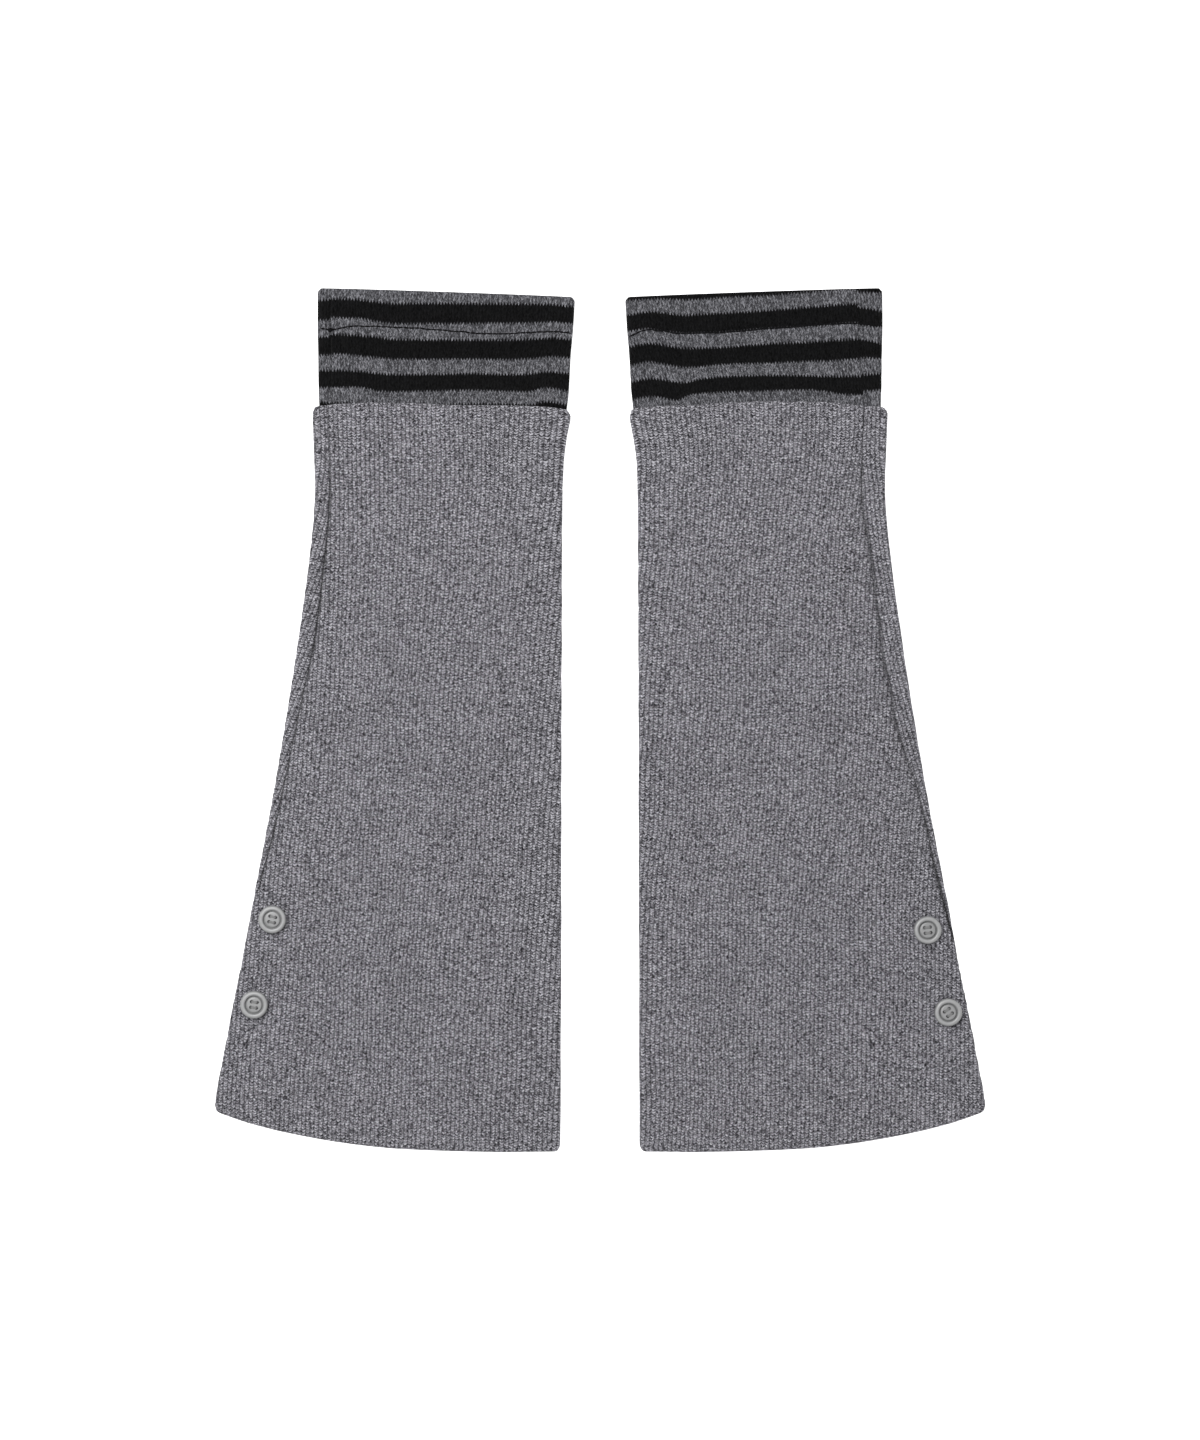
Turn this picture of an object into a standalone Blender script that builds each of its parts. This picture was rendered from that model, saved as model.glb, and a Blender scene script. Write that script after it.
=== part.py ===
"""Pair of flared, rib-knitted leg warmers with striped bands, lying flat side by side.

Run with: blender --background --python part.py
Sizes are millimetres until a point is placed, then metres, +Z up. The cloth lies on z = 0, +Y runs
from the hems to the bands, and the origin is the middle of the pair's footprint. Each leg warmer is
drawn in its own flat frame: u runs outwards from the straight inner fold, v up from the hem.
"""

import math

import bmesh
import bpy

MM = 0.001

# Driving dimensions
LENGTH = 431.5  # hem to the top of the band
BODY_LENGTH = 374.0  # hem to the top of the rib knit
FOLD_SPACING = 39.75  # between the two inner folds
WALL = 1.6  # rib knit between its ribs
LAYER_GAP = 0.4  # between two layers lying on each other
RIB_PITCH = 2.1
RIB_RAISE = 0.4
SEAM_GAP = 0.3
PUFF = 1.0  # how far the front layer stands off the back one
PUFF_SLOPE = 26.0  # width of the slope from a pressed edge up to the puff
JERSEY = 1.0  # wall of the striped jersey
PLY_GAP = 0.3
CASING_DEPTH = 20.0  # how far the band's top edge is turned in

# Heights above the hem between which a shape changes
HEM_FADE = 250.0  # rows follow the hem's curve less and less up to here
TOP_CURVE = 330.0  # and follow the top edge's curve from here
CLIMB = (328.0, 350.0)  # the body's front rises over the band
DROOP = (375.0, 390.0)  # the band comes down to the surface
SWELL = (395.0, 410.0)  # the band thickens to its turned-in edge
FLARE_REACH = 45.0  # how far from the inner fold the ribs spread at the flared top

# Outer side of the body with both layers flat, cut on the slant
OUTER_SIDE = (  # height above the hem, distance from the fold line
    (0.0, 176.6),
    (23.5, 172.5),
    (55.5, 166.5),
    (95.5, 158.5),
    (135.5, 151.0),
    (175.5, 143.5),
    (215.5, 137.0),
    (255.5, 130.75),
    (295.5, 125.25),
    (325.5, 122.6),
    (345.5, 122.6),
    (365.5, 123.5),
    (374.0, 124.0),
)
# Inner side: straight, then flared a little where the band lies inside
INNER_SIDE = (  # height above the hem, distance from the fold line
    (0.0, 0.0),
    (315.0, 0.0),
    (335.5, -0.5),
    (345.5, -1.0),
    (355.5, -2.5),
    (365.5, -4.5),
    (374.0, -5.0),
)
HEM = (  # distance from the fold line, rise of the hem
    (0.0, 0.0),
    (30.0, 0.0),
    (65.0, 1.0),
    (89.0, 2.5),
    (113.0, 5.5),
    (137.0, 10.0),
    (155.0, 14.5),
    (167.0, 18.5),
    (176.0, 22.0),
)
BODY_TOP = (  # distance from the fold line, height of the top edge
    (-5.0, 372.2),
    (8.0, 373.0),
    (60.0, 374.0),
    (115.0, 373.0),
    (124.0, 372.2),
)
BODY_CORNERS = (  # distance from the fold line, height, radius, way inwards across and up
    (173.1, 20.7, 4.0, -1, 1),
    (0.0, 0.0, 3.5, 1, 1),
    (124.0, 372.2, 3.0, -1, -1),
    (-5.0, 372.2, 2.5, 1, -1),
)
# Heights of the body's sections, measured on the inner side
BODY_ROWS = (0.0, 4.0, 34.0, 76.0, 118.0, 160.0, 204.0, 248.0, 290.0, 327.0, 339.0, 350.0, 370.0, 374.0)
BACK_COLUMNS = 5
FRONT_LINING_COLUMNS = 12

BAND_OUTER_SIDE = ((352.0, 120.2), (370.0, 120.4), (376.0, 120.6), (431.5, 120.6))  # height, distance
BAND_INNER_SIDE = (  # height above the hem, distance from the fold line
    (352.0, 0.6),
    (366.0, -1.9),
    (372.0, -2.3),
    (379.0, -3.6),
    (400.0, -4.3),
    (431.5, -6.6),
)
BAND_TOP = ((-6.6, 427.0), (60.0, 428.9), (120.6, 431.5))  # distance from the fold line, height
BAND_CORNERS = ((120.6, 431.5, 2.5, -1, -1), (-6.6, 427.0, 2.5, 1, -1))  # columns as BODY_CORNERS
BAND_ROWS = (352.0, 358.0, 366.0, 374.5, 379.0, 384.0, 390.0, 397.0, 403.0, 410.0, 417.0, 424.0)
BAND_COLUMNS = 8
FOLD_TURNS = [math.radians(turn) for turn in (45, 90, 135)]  # round the band's folded top edge

LEGS = {
    "left": {
        "side": -1,
        "seam": (  # height above the hem, distance of the side seam from the fold line
            (125.0, 153.0),
            (136.5, 149.5),
            (161.0, 143.0),
            (184.5, 137.9),
            (229.5, 128.5),
            (254.0, 123.1),
            (276.5, 120.1),
            (291.5, 118.5),
            (306.5, 116.8),
            (321.0, 115.7),
            (336.0, 115.3),
            (374.0, 115.3),
        ),
        "folds": (  # u, v of the middle, turn in degrees, length, width, depth
            (103.0, 300.0, 75.0, 60.0, 9.0, 0.7),
            (132.0, 162.0, 40.0, 26.0, 7.0, 0.7),
            (60.0, 215.0, 84.0, 120.0, 16.0, 0.4),
        ),
        "band_seam": 6.75,
        "buttons": {"upper": (143.8, 116.1, -12.0), "lower": (152.9, 73.5, -8.0)},  # u, v, turn in degrees
    },
    "right": {
        "side": 1,
        "seam": (
            (114.0, 155.2),
            (136.5, 148.7),
            (161.0, 143.4),
            (184.0, 137.8),
            (232.0, 125.8),
            (252.0, 122.6),
            (281.5, 118.1),
            (303.0, 115.0),
            (319.5, 112.0),
            (332.0, 111.0),
            (374.0, 111.0),
        ),
        "folds": (
            (112.0, 270.0, 105.0, 90.0, 8.0, 0.8),
            (128.0, 148.0, 115.0, 60.0, 8.0, 0.8),
            (85.0, 62.0, 8.0, 80.0, 14.0, 0.5),
        ),
        "band_seam": 12.75,
        "buttons": {"upper": (143.8, 110.8, 7.0), "lower": (154.1, 69.7, 36.0)},
    },
}

BUTTON_RADIUS = 7.0
BUTTON_PROFILE = (  # radius, height
    (6.0, 0.0),
    (7.0, 0.9),
    (6.9, 1.8),
    (6.1, 2.6),
    (5.2, 2.5),
    (4.5, 1.7),
    (3.8, 1.8),
)
BUTTON_SIDES = 24
HOLE_RADIUS = 0.85
HOLE_OFFSET = 1.4
HOLE_SIDES = 8
DRILL_LENGTH = 6.0
TURN_STEPS = 3  # faces round a quarter of the outer bend, on the front layer's side


def along(table, at):
    """Height of a smooth curve through a two-column table, straight beyond its ends."""
    slopes = []
    last = len(table) - 1
    for n in range(len(table)):
        (x0, y0), (x1, y1) = table[max(n - 1, 0)], table[min(n + 1, last)]
        slopes.append((y1 - y0) / (x1 - x0))
    if at <= table[0][0]:
        return table[0][1] + slopes[0] * (at - table[0][0])
    if at >= table[last][0]:
        return table[last][1] + slopes[last] * (at - table[last][0])
    n = max(k for k in range(last) if table[k][0] <= at)
    (x0, y0), (x1, y1) = table[n], table[n + 1]
    span = x1 - x0
    t = (at - x0) / span
    return (
        y0 * (1 + 2 * t) * (1 - t) ** 2
        + slopes[n] * span * t * (1 - t) ** 2
        + y1 * t * t * (3 - 2 * t)
        + slopes[n + 1] * span * t * t * (t - 1)
    )


def ease(low, high, at):
    """0 below low, 1 above high, with a soft start and end."""
    t = min(max((at - low) / (high - low), 0.0), 1.0)
    return t * t * (3 - 2 * t)


def mix(start, end, share):
    return start + (end - start) * share


def rounded(u, v, corners):
    """Moves a point near one of the corners inside that corner's arc."""
    for corner_u, corner_v, radius, way_u, way_v in corners:
        across = radius - (u - corner_u) * way_u
        up = radius - (v - corner_v) * way_v
        if across > 0 and up > 0:
            pull = 1 - max(across, up) / math.hypot(across, up)
            u += way_u * across * pull
            v += way_v * up * pull
    return u, v


class Shell:
    """A closed cloth wall being built; equal points share one vertex."""

    def __init__(self, side, corners):
        self.mesh = bmesh.new()
        self.side = side
        self.corners = corners
        self.known = {}

    def point(self, u, v, z):
        u, v = rounded(u, v, self.corners)
        place = (
            round(self.side * (FOLD_SPACING / 2 + u), 4),
            round(v - LENGTH / 2, 4),
            round(z, 4),
        )
        if place not in self.known:
            self.known[place] = self.mesh.verts.new([MM * value for value in place])
        return self.known[place]

    def face(self, *corners):
        distinct = list(dict.fromkeys(corners))
        if len(distinct) > 2:
            self.mesh.faces.new(distinct)

    def sheet(self, points):
        """Faces between neighbouring rows of points."""
        for lower, upper in zip(points, points[1:]):
            for n in range(len(lower) - 1):
                self.face(lower[n], lower[n + 1], upper[n + 1], upper[n])

    def close_ribs(self, chain):
        """Closes the end of each rib in a chain of (progress, point, raised); returns the rest."""
        plain = []
        for n, (progress, point, raised) in enumerate(chain):
            if raised and 0 < n < len(chain) - 1:
                self.face(chain[n - 1][1], point, chain[n + 1][1])
            else:
                plain.append((progress, point))
        return plain

    def rim(self, outside, inside):
        """Joins two chains of points along an edge of the wall, stepping along whichever lags behind."""
        one = self.close_ribs(outside)
        other = [(progress, point) for progress, point, _ in inside]
        i = j = 0
        while i < len(one) - 1 or j < len(other) - 1:
            if j == len(other) - 1 or (i < len(one) - 1 and one[i + 1][0] <= other[j + 1][0]):
                self.face(one[i][1], one[i + 1][1], other[j][1])
                i += 1
            else:
                self.face(one[i][1], other[j + 1][1], other[j][1])
                j += 1

    def finish(self, name, finish):
        bmesh.ops.recalc_face_normals(self.mesh, faces=self.mesh.faces)
        if self.mesh.calc_volume(signed=True) < 0:
            bmesh.ops.reverse_faces(self.mesh, faces=self.mesh.faces)
        data = bpy.data.meshes.new(name)
        self.mesh.to_mesh(data)
        self.mesh.free()
        body = bpy.data.objects.new(name, data)
        bpy.context.collection.objects.link(body)
        data.materials.append(finish)
        return body


class Body:
    """Shape of one leg warmer's rib-knit body, as functions of u and v."""

    def __init__(self, leg):
        self.seam_line = leg["seam"]
        self.folds = leg["folds"]
        self.sections = []  # height on the outer side, distance of the outer side, distance round to the seam
        for row in BODY_ROWS:
            v = self.height(along(OUTER_SIDE, row), row)
            self.sections.append((v, along(OUTER_SIDE, v), self.seam_round_bend(v)))

    def height(self, u, row):
        """Height of a row at u: rows follow the hem low down and the top edge high up."""
        return (
            row
            + along(HEM, u) * max(0.0, 1 - row / HEM_FADE)
            + (along(BODY_TOP, u) - BODY_LENGTH) * max(0.0, (row - TOP_CURVE) / (BODY_LENGTH - TOP_CURVE))
        )

    def front_level(self, v):
        """Inside of the front layer; it climbs over the band's two layers at the top."""
        return mix(WALL + LAYER_GAP, WALL + 3 * PLY_GAP + 2 * JERSEY, ease(*CLIMB, v))

    def bend_radius(self, v):
        return (self.front_level(v) + WALL) / 2

    def seam_round_bend(self, v):
        """Distance round the outer bend from its middle to the side seam."""
        radius = self.bend_radius(v)
        roll = max(along(OUTER_SIDE, v) - along(self.seam_line, v), 0.0) if v > self.seam_line[0][0] else 0.0
        if roll >= radius:
            return math.pi / 2 * radius + roll - radius
        return radius * (math.pi / 2 - math.asin(1 - roll / radius))

    def between_sections(self, v, column):
        """A section's value at a height, straight from one section to the next."""
        for low, high in zip(self.sections, self.sections[1:]):
            if v <= high[0] or high is self.sections[-1]:
                return mix(low[column], high[column], (v - low[0]) / (high[0] - low[0]))

    def outer_side(self, v):
        return self.between_sections(v, 1)

    def seam(self, v):
        return self.between_sections(v, 2)

    def flat_end(self, v):
        """Where the flat part of the front layer ends, at the outer bend or at the seam."""
        radius = self.bend_radius(v)
        beyond = max(self.seam(v) + SEAM_GAP / 2 - math.pi / 2 * radius, 0.0)
        return self.outer_side(v) - RIB_RAISE - radius - beyond

    def fold_end(self, v):
        """Where the flat part of the front layer meets the inner fold."""
        return along(INNER_SIDE, v) + RIB_RAISE + self.bend_radius(v)

    def rolled(self, v, round_bend, depth):
        """Point round the outer bend: below it when negative, then on the front past a quarter turn."""
        radius = self.bend_radius(v)
        quarter = math.pi / 2 * radius
        middle = self.outer_side(v) - RIB_RAISE - radius
        if round_bend > quarter:
            return middle - (round_bend - quarter), v, 2 * radius - depth
        angle = round_bend / radius
        return middle + (radius - depth) * math.cos(angle), v, radius + (radius - depth) * math.sin(angle)

    def folded(self, v, turn, depth):
        """Point round the inner fold, from 90 degrees on the front to -90 on the back."""
        radius = self.bend_radius(v)
        angle = math.radians(turn)
        return (
            self.fold_end(v) - (radius - depth) * math.cos(angle),
            v,
            radius + (radius - depth) * math.sin(angle),
        )

    def puff(self, u, v):
        """How far the front layer stands off its flat place, with its soft folds."""
        rise = PUFF * ease(0, PUFF_SLOPE, u - self.fold_end(v)) * ease(0, PUFF_SLOPE, self.flat_end(v) - u)
        rise *= ease(0, 40, v) * (1 - ease(285, 330, v))
        for fold_u, fold_v, turn, length, width, depth in self.folds:
            angle = math.radians(turn)
            east, north = u - fold_u, v - fold_v
            along_fold = east * math.cos(angle) + north * math.sin(angle)
            across_fold = north * math.cos(angle) - east * math.sin(angle)
            rise -= depth * math.exp(-((across_fold / width) ** 2) - (2 * along_fold / length) ** 4)
        return max(rise, 0.0)

    def end_of_column(self, u):
        """Height where a rib meets the outer bend or the seam, found by halving."""
        low, high = 0.0, 330.0
        for _ in range(40):
            middle = (low + high) / 2
            if self.flat_end(middle) > u:
                low = middle
            else:
                high = middle
        return low


def rib_columns(shape):
    """Half-pitch columns of the front, outermost first, counted from the seam at the top edge."""
    top_end = shape.flat_end(BODY_LENGTH)
    half = RIB_PITCH / 2
    outwards = int((shape.flat_end(along(HEM, 170.0)) - top_end) / half)
    inwards = int((top_end - shape.fold_end(0.0) - half / 2) / half)
    columns = [(top_end + n * half, n % 2) for n in range(outwards, -inwards - 1, -1)]
    columns.append((shape.fold_end(0.0), 0))
    return columns, outwards


def front_outside(shell, shape):
    """Ribbed outside of the front layer: its rows, the chain along its outer end, the top column."""
    columns, top_column = rib_columns(shape)
    rows = [[] for _ in BODY_ROWS]  # of (progress, point, raised)
    heights = [[] for _ in BODY_ROWS]
    ends = []
    for n, (u, raised) in enumerate(columns):
        ends.append(shape.end_of_column(u) if n < top_column else 2 * BODY_LENGTH)
        for k, row in enumerate(BODY_ROWS):
            v = min(shape.height(u, row), ends[n])
            drift = (shape.fold_end(v) - shape.fold_end(0.0)) * max(0.0, 1 - u / FLARE_REACH)
            level = shape.front_level(v) + WALL + RIB_RAISE * raised
            first = 0 if k == 0 else top_column  # only the hem's row reaches the outermost ribs
            progress = 1 + max(n - first, 0) / (len(columns) - 1 - first)
            rows[k].append((progress, shell.point(u + drift, v, level + shape.puff(u + drift, v)), raised))
            heights[k].append(v)
    for lower, upper in zip(rows, rows[1:]):
        for n in range(len(columns) - 1):
            beyond_seam = n == top_column - 1 and lower[n][1] is upper[n][1]
            if not beyond_seam:
                shell.face(lower[n][1], lower[n + 1][1], upper[n + 1][1], upper[n][1])

    chain = [(heights[k][0], rows[k][0][1], rows[k][0][2]) for k in range(len(rows))]
    chain += [(ends[n], rows[-1][n][1], rows[-1][n][2]) for n in range(1, top_column)]
    chain += [
        (heights[k][top_column], rows[k][top_column][1], 0)
        for k in range(len(rows))
        if heights[k][top_column] > ends[top_column - 1]
    ]
    chain = [entry for n, entry in enumerate(chain) if n == 0 or entry[1] is not chain[n - 1][1]]
    return rows, chain, top_column


def front_turn(shell, shape, chain):
    """The front layer's end, turned down round the outer bend as far as the seam. Returns its columns."""
    columns = [chain]
    for step in range(1, TURN_STEPS + 1):
        column = []
        for v, start, raised in chain:
            quarter = math.pi / 2 * shape.bend_radius(v)
            end = shape.seam(v) + SEAM_GAP / 2
            if end >= quarter:
                column.append((v, start, raised))
            else:
                column.append((v, shell.point(*shape.rolled(v, mix(quarter, end, step / TURN_STEPS), 0.0)), 0))
        columns.append(column)
    for one, other in zip(columns, columns[1:]):
        for n in range(len(chain) - 1):
            shell.face(one[n][1], other[n][1], other[n + 1][1], one[n + 1][1])
    return columns


def outside_rest(shell, shape, front):
    """Outside from the inner fold, under the back and up round the outer bend to the seam, row by row."""
    half = RIB_PITCH / 2
    widest = max(shape.seam(v) - math.pi / 2 * shape.bend_radius(v) for v in BODY_ROWS)
    strip = int(widest / half) + 1
    rows = []
    for row, front_row, section in zip(BODY_ROWS, front, shape.sections):
        points = [(2.0, front_row[-1][1], 0)]
        v = shape.height(along(INNER_SIDE, row), row)
        for turn, raised in ((55, 1), (25, 0), (0, 1), (-30, 0), (-90, 0)):
            point = shell.point(*shape.folded(v, turn, -RIB_RAISE * raised))
            points.append((2 + (90 - turn) / 180, point, raised))
        for n in range(1, BACK_COLUMNS):
            u = mix(shape.fold_end(v), section[1] - 3, n / BACK_COLUMNS)
            points.append((3 + n / BACK_COLUMNS, shell.point(u, shape.height(u, row), 0.0), 0))
        v = section[0]
        quarter = math.pi / 2 * shape.bend_radius(v)
        last = shape.seam(v) - SEAM_GAP / 2
        stops = [(-quarter, 0), (-quarter / 2, 0), (0.0, 1), (quarter / 2, 0), (quarter, 1)]
        stops += [(quarter + (n + 1) * half, n % 2) for n in range(strip)]
        for stop, raised in stops:
            raised = raised if stop < last else 0
            point = shell.point(*shape.rolled(v, min(stop, last), -RIB_RAISE * raised))
            points.append((4 + (min(stop, last) + quarter) / (last + quarter), point, raised))
        rows.append(points)
    shell.sheet([[entry[1] for entry in points] for points in rows])
    return rows


def inside(shell, shape):
    """Plain inside of the whole wall, from the front layer's seam edge round to the back's, row by row."""
    rows = []
    for row, section in zip(BODY_ROWS, shape.sections):
        outer_v = section[0]
        inner_v = shape.height(along(INNER_SIDE, row), row)
        quarter = math.pi / 2 * shape.bend_radius(outer_v)
        end = shape.seam(outer_v) + SEAM_GAP / 2
        points = []
        for n in range(FRONT_LINING_COLUMNS + 1):
            share = n / FRONT_LINING_COLUMNS
            u = mix(shape.flat_end(outer_v), shape.fold_end(inner_v), share)
            v = shape.height(u, row) if n > 0 else outer_v
            points.append((1 + share, shell.point(u, v, shape.front_level(v) + shape.puff(u, v)), 0))
        seam_edge = shell.point(*shape.rolled(outer_v, end, WALL)) if end < quarter else points[0][1]
        points.insert(0, (0.0, seam_edge, 0))
        for turn in (0, -90):
            points.append((2 + (90 - turn) / 180, shell.point(*shape.folded(inner_v, turn, WALL)), 0))
        for n in range(1, BACK_COLUMNS):
            u = mix(shape.fold_end(inner_v), section[1] - 3, n / BACK_COLUMNS)
            points.append((3 + n / BACK_COLUMNS, shell.point(u, shape.height(u, row), WALL), 0))
        last = shape.seam(outer_v) - SEAM_GAP / 2
        for stop in (-quarter, 0.0, quarter, last):
            progress = 4 + (min(stop, last) + quarter) / (last + quarter)
            points.append((progress, shell.point(*shape.rolled(outer_v, min(stop, last), WALL)), 0))
        rows.append(points)
    shell.sheet([[entry[1] for entry in points] for points in rows])
    return rows


def make_body(name, leg, finish):
    shell = Shell(leg["side"], BODY_CORNERS)
    shape = Body(leg)
    front, chain, top_column = front_outside(shell, shape)
    turned = front_turn(shell, shape, chain)
    rest = outside_rest(shell, shape, front)
    lining = inside(shell, shape)

    for end, front_row in ((0, front[0]), (-1, front[-1][top_column:])):
        start = [(1 - n / TURN_STEPS, turned[n][end][1], 0) for n in range(TURN_STEPS, 0, -1)]
        shell.rim(start + front_row + rest[end][1:], lining[end])
    heights = [section[0] for section in shape.sections]
    shell.rim(turned[-1], [(v, row[0][1], 0) for v, row in zip(heights, lining)])
    shell.rim(
        [(v, row[-1][1], 0) for v, row in zip(heights, rest)],
        [(v, row[-1][1], 0) for v, row in zip(heights, lining)],
    )
    return shell.finish(name, finish)


def band_level(v):
    """Underside of the band: on the back panel inside the body, then down on the surface."""
    return mix(WALL + PLY_GAP, 0.0, ease(*DROOP, v))


def band_total(v):
    """Thickness of the whole flattened band, greater where its edge is turned in."""
    single = 2 * JERSEY + PLY_GAP
    return mix(single, 2 * single + PLY_GAP, ease(*SWELL, v))


def band_loop():
    """Way round the band's wall as (height, depth below its outside), from the hidden edge and back."""
    fold = (JERSEY * 2 + PLY_GAP) / 2
    top = LENGTH - fold
    casing = LENGTH - CASING_DEPTH
    loop = [(v, 0.0) for v in BAND_ROWS] + [(top, 0.0)]
    loop += [(top + fold * math.sin(turn), fold - fold * math.cos(turn)) for turn in FOLD_TURNS]
    loop += [(v, 2 * fold) for v in (top, 424.0, 417.0, casing)]
    loop += [(v, 2 * fold - JERSEY) for v in (casing, 417.0, 424.0, top)]
    loop += [(top + PLY_GAP / 2, fold)]
    loop += [(v, JERSEY) for v in (top, *BAND_ROWS[::-1])]
    return loop


def band_ring(v, depth, seam):
    """Points round the flattened tube at one height and depth, from the seam and back to it."""
    low, high = band_level(v) + depth, band_level(v) + band_total(v) - depth
    radius = (high - low) / 2
    inner = along(BAND_INNER_SIDE, v) + depth + radius
    outer = along(BAND_OUTER_SIDE, v) - depth - radius
    seam_u = along(BAND_OUTER_SIDE, v) - seam
    middle = (low + high) / 2
    ring = [(mix(seam_u - SEAM_GAP / 2, inner, n / BAND_COLUMNS), high) for n in range(BAND_COLUMNS)]
    for turn in (90, 30, -30, -90):
        angle = math.radians(turn)
        ring.append((inner - radius * math.cos(angle), middle + radius * math.sin(angle)))
    ring += [(mix(inner, outer, n / BAND_COLUMNS), low) for n in range(1, BAND_COLUMNS)]
    for turn in (-90, -30, 30, 90):
        angle = math.radians(turn)
        ring.append((outer + radius * math.cos(angle), middle + radius * math.sin(angle)))
    ring.append((seam_u + SEAM_GAP / 2, high))
    return ring


def make_band(name, leg, finish):
    shell = Shell(leg["side"], BAND_CORNERS)
    rings = []
    for v, depth in band_loop():
        slope = max(0.0, (v - DROOP[0]) / (LENGTH - DROOP[0]))  # the top edge runs a little off square
        ring = band_ring(v, depth, leg["band_seam"])
        rings.append([shell.point(u, v + (along(BAND_TOP, u) - LENGTH) * slope, z) for u, z in ring])
    shell.sheet(rings + rings[:1])
    for end in (0, -1):
        shell.face(*[ring[end] for ring in rings])
    return shell.finish(name, finish)


def make_button(name, leg, place, finish):
    """A four-hole button with a raised rim, its holes cut by a hidden cutter."""
    shape = Body(leg)
    u, v, turn = place
    highest = max(shape.puff(u + step, v) for step in (-BUTTON_RADIUS, 0.0, BUTTON_RADIUS))
    level = shape.front_level(v) + WALL + RIB_RAISE + highest + SEAM_GAP
    mesh = bmesh.new()
    profile = [mesh.verts.new((MM * r, 0.0, MM * z)) for r, z in BUTTON_PROFILE]
    edges = [mesh.edges.new(pair) for pair in zip(profile, profile[1:])]
    bmesh.ops.spin(
        mesh,
        geom=profile + edges,
        axis=(0, 0, 1),
        cent=(0, 0, 0),
        angle=2 * math.pi,
        steps=BUTTON_SIDES,
        use_merge=True,
    )
    bmesh.ops.holes_fill(mesh, edges=mesh.edges, sides=0)
    bmesh.ops.recalc_face_normals(mesh, faces=mesh.faces)
    data = bpy.data.meshes.new(name)
    mesh.to_mesh(data)
    mesh.free()
    data.shade_smooth()
    data.set_sharp_from_angle(angle=math.radians(35))
    data.materials.append(finish)
    button = bpy.data.objects.new(name, data)
    bpy.context.collection.objects.link(button)
    button.location = [MM * value for value in (leg["side"] * (FOLD_SPACING / 2 + u), v - LENGTH / 2, level)]
    button.rotation_euler = (0, 0, math.radians(turn))

    drill = bmesh.new()
    for across, up in ((1, 1), (1, -1), (-1, 1), (-1, -1)):
        made = bmesh.ops.create_cone(
            drill,
            cap_ends=True,
            segments=HOLE_SIDES,
            radius1=MM * HOLE_RADIUS,
            radius2=MM * HOLE_RADIUS,
            depth=MM * DRILL_LENGTH,
        )
        offset = (MM * HOLE_OFFSET * across, MM * HOLE_OFFSET * up, 0)
        bmesh.ops.translate(drill, verts=made["verts"], vec=offset)
    drill_data = bpy.data.meshes.new(name + "_drill")
    drill.to_mesh(drill_data)
    drill.free()
    cutter = bpy.data.objects.new(name + "_drill", drill_data)
    bpy.context.collection.objects.link(cutter)
    cutter.parent = button
    cutter.hide_render = True
    cutter.display_type = "WIRE"
    holes = button.modifiers.new("holes", "BOOLEAN")
    holes.object = cutter
    holes.operation = "DIFFERENCE"
    return button


def make_finish(name, colour, roughness):
    finish = bpy.data.materials.new(name)
    finish.use_nodes = True
    shader = finish.node_tree.nodes["Principled BSDF"]
    shader.inputs["Base Color"].default_value = (*colour, 1.0)
    shader.inputs["Roughness"].default_value = roughness
    shader.inputs["Metallic"].default_value = 0.0
    return finish


def main():
    for old in list(bpy.data.objects):
        bpy.data.objects.remove(old)
    rib_knit = make_finish("rib_knit", (0.19, 0.185, 0.205), 0.95)
    striped_jersey = make_finish("striped_jersey", (0.055, 0.055, 0.06), 0.95)
    button_plastic = make_finish("button", (0.27, 0.27, 0.275), 0.5)
    for side, leg in LEGS.items():
        make_body(f"{side}_body", leg, rib_knit)
        make_band(f"{side}_band", leg, striped_jersey)
        for which, place in leg["buttons"].items():
            make_button(f"{side}_button_{which}", leg, place, button_plastic)


main()
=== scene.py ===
import bisect
import math

import bmesh
import bpy
from mathutils import Matrix, Vector, noise


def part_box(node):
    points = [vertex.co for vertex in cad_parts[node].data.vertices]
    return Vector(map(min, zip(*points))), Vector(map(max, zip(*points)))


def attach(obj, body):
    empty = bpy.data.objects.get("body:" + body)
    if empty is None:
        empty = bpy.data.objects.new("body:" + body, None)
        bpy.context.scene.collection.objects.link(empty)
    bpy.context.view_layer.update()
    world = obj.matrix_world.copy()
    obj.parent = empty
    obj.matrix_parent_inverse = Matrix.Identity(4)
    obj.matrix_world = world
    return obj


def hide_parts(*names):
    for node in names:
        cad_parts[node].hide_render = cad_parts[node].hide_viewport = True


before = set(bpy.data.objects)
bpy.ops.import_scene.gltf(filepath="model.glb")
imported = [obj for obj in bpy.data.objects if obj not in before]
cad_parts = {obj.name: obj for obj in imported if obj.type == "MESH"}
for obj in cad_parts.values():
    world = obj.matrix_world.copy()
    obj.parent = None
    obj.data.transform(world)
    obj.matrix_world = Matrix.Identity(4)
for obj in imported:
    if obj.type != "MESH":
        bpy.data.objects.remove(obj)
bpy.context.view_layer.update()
mm = 0.001

# Sizes are in mm. In each leg warmer u runs outwards from the straight inner fold and v up from the hem.
pair = {
    "length": 431.5,  # hem to the top of the band
    "foldSpacing": 39.75,  # between the two inner folds
    "sides": {"left": -1, "right": 1},
}


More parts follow.
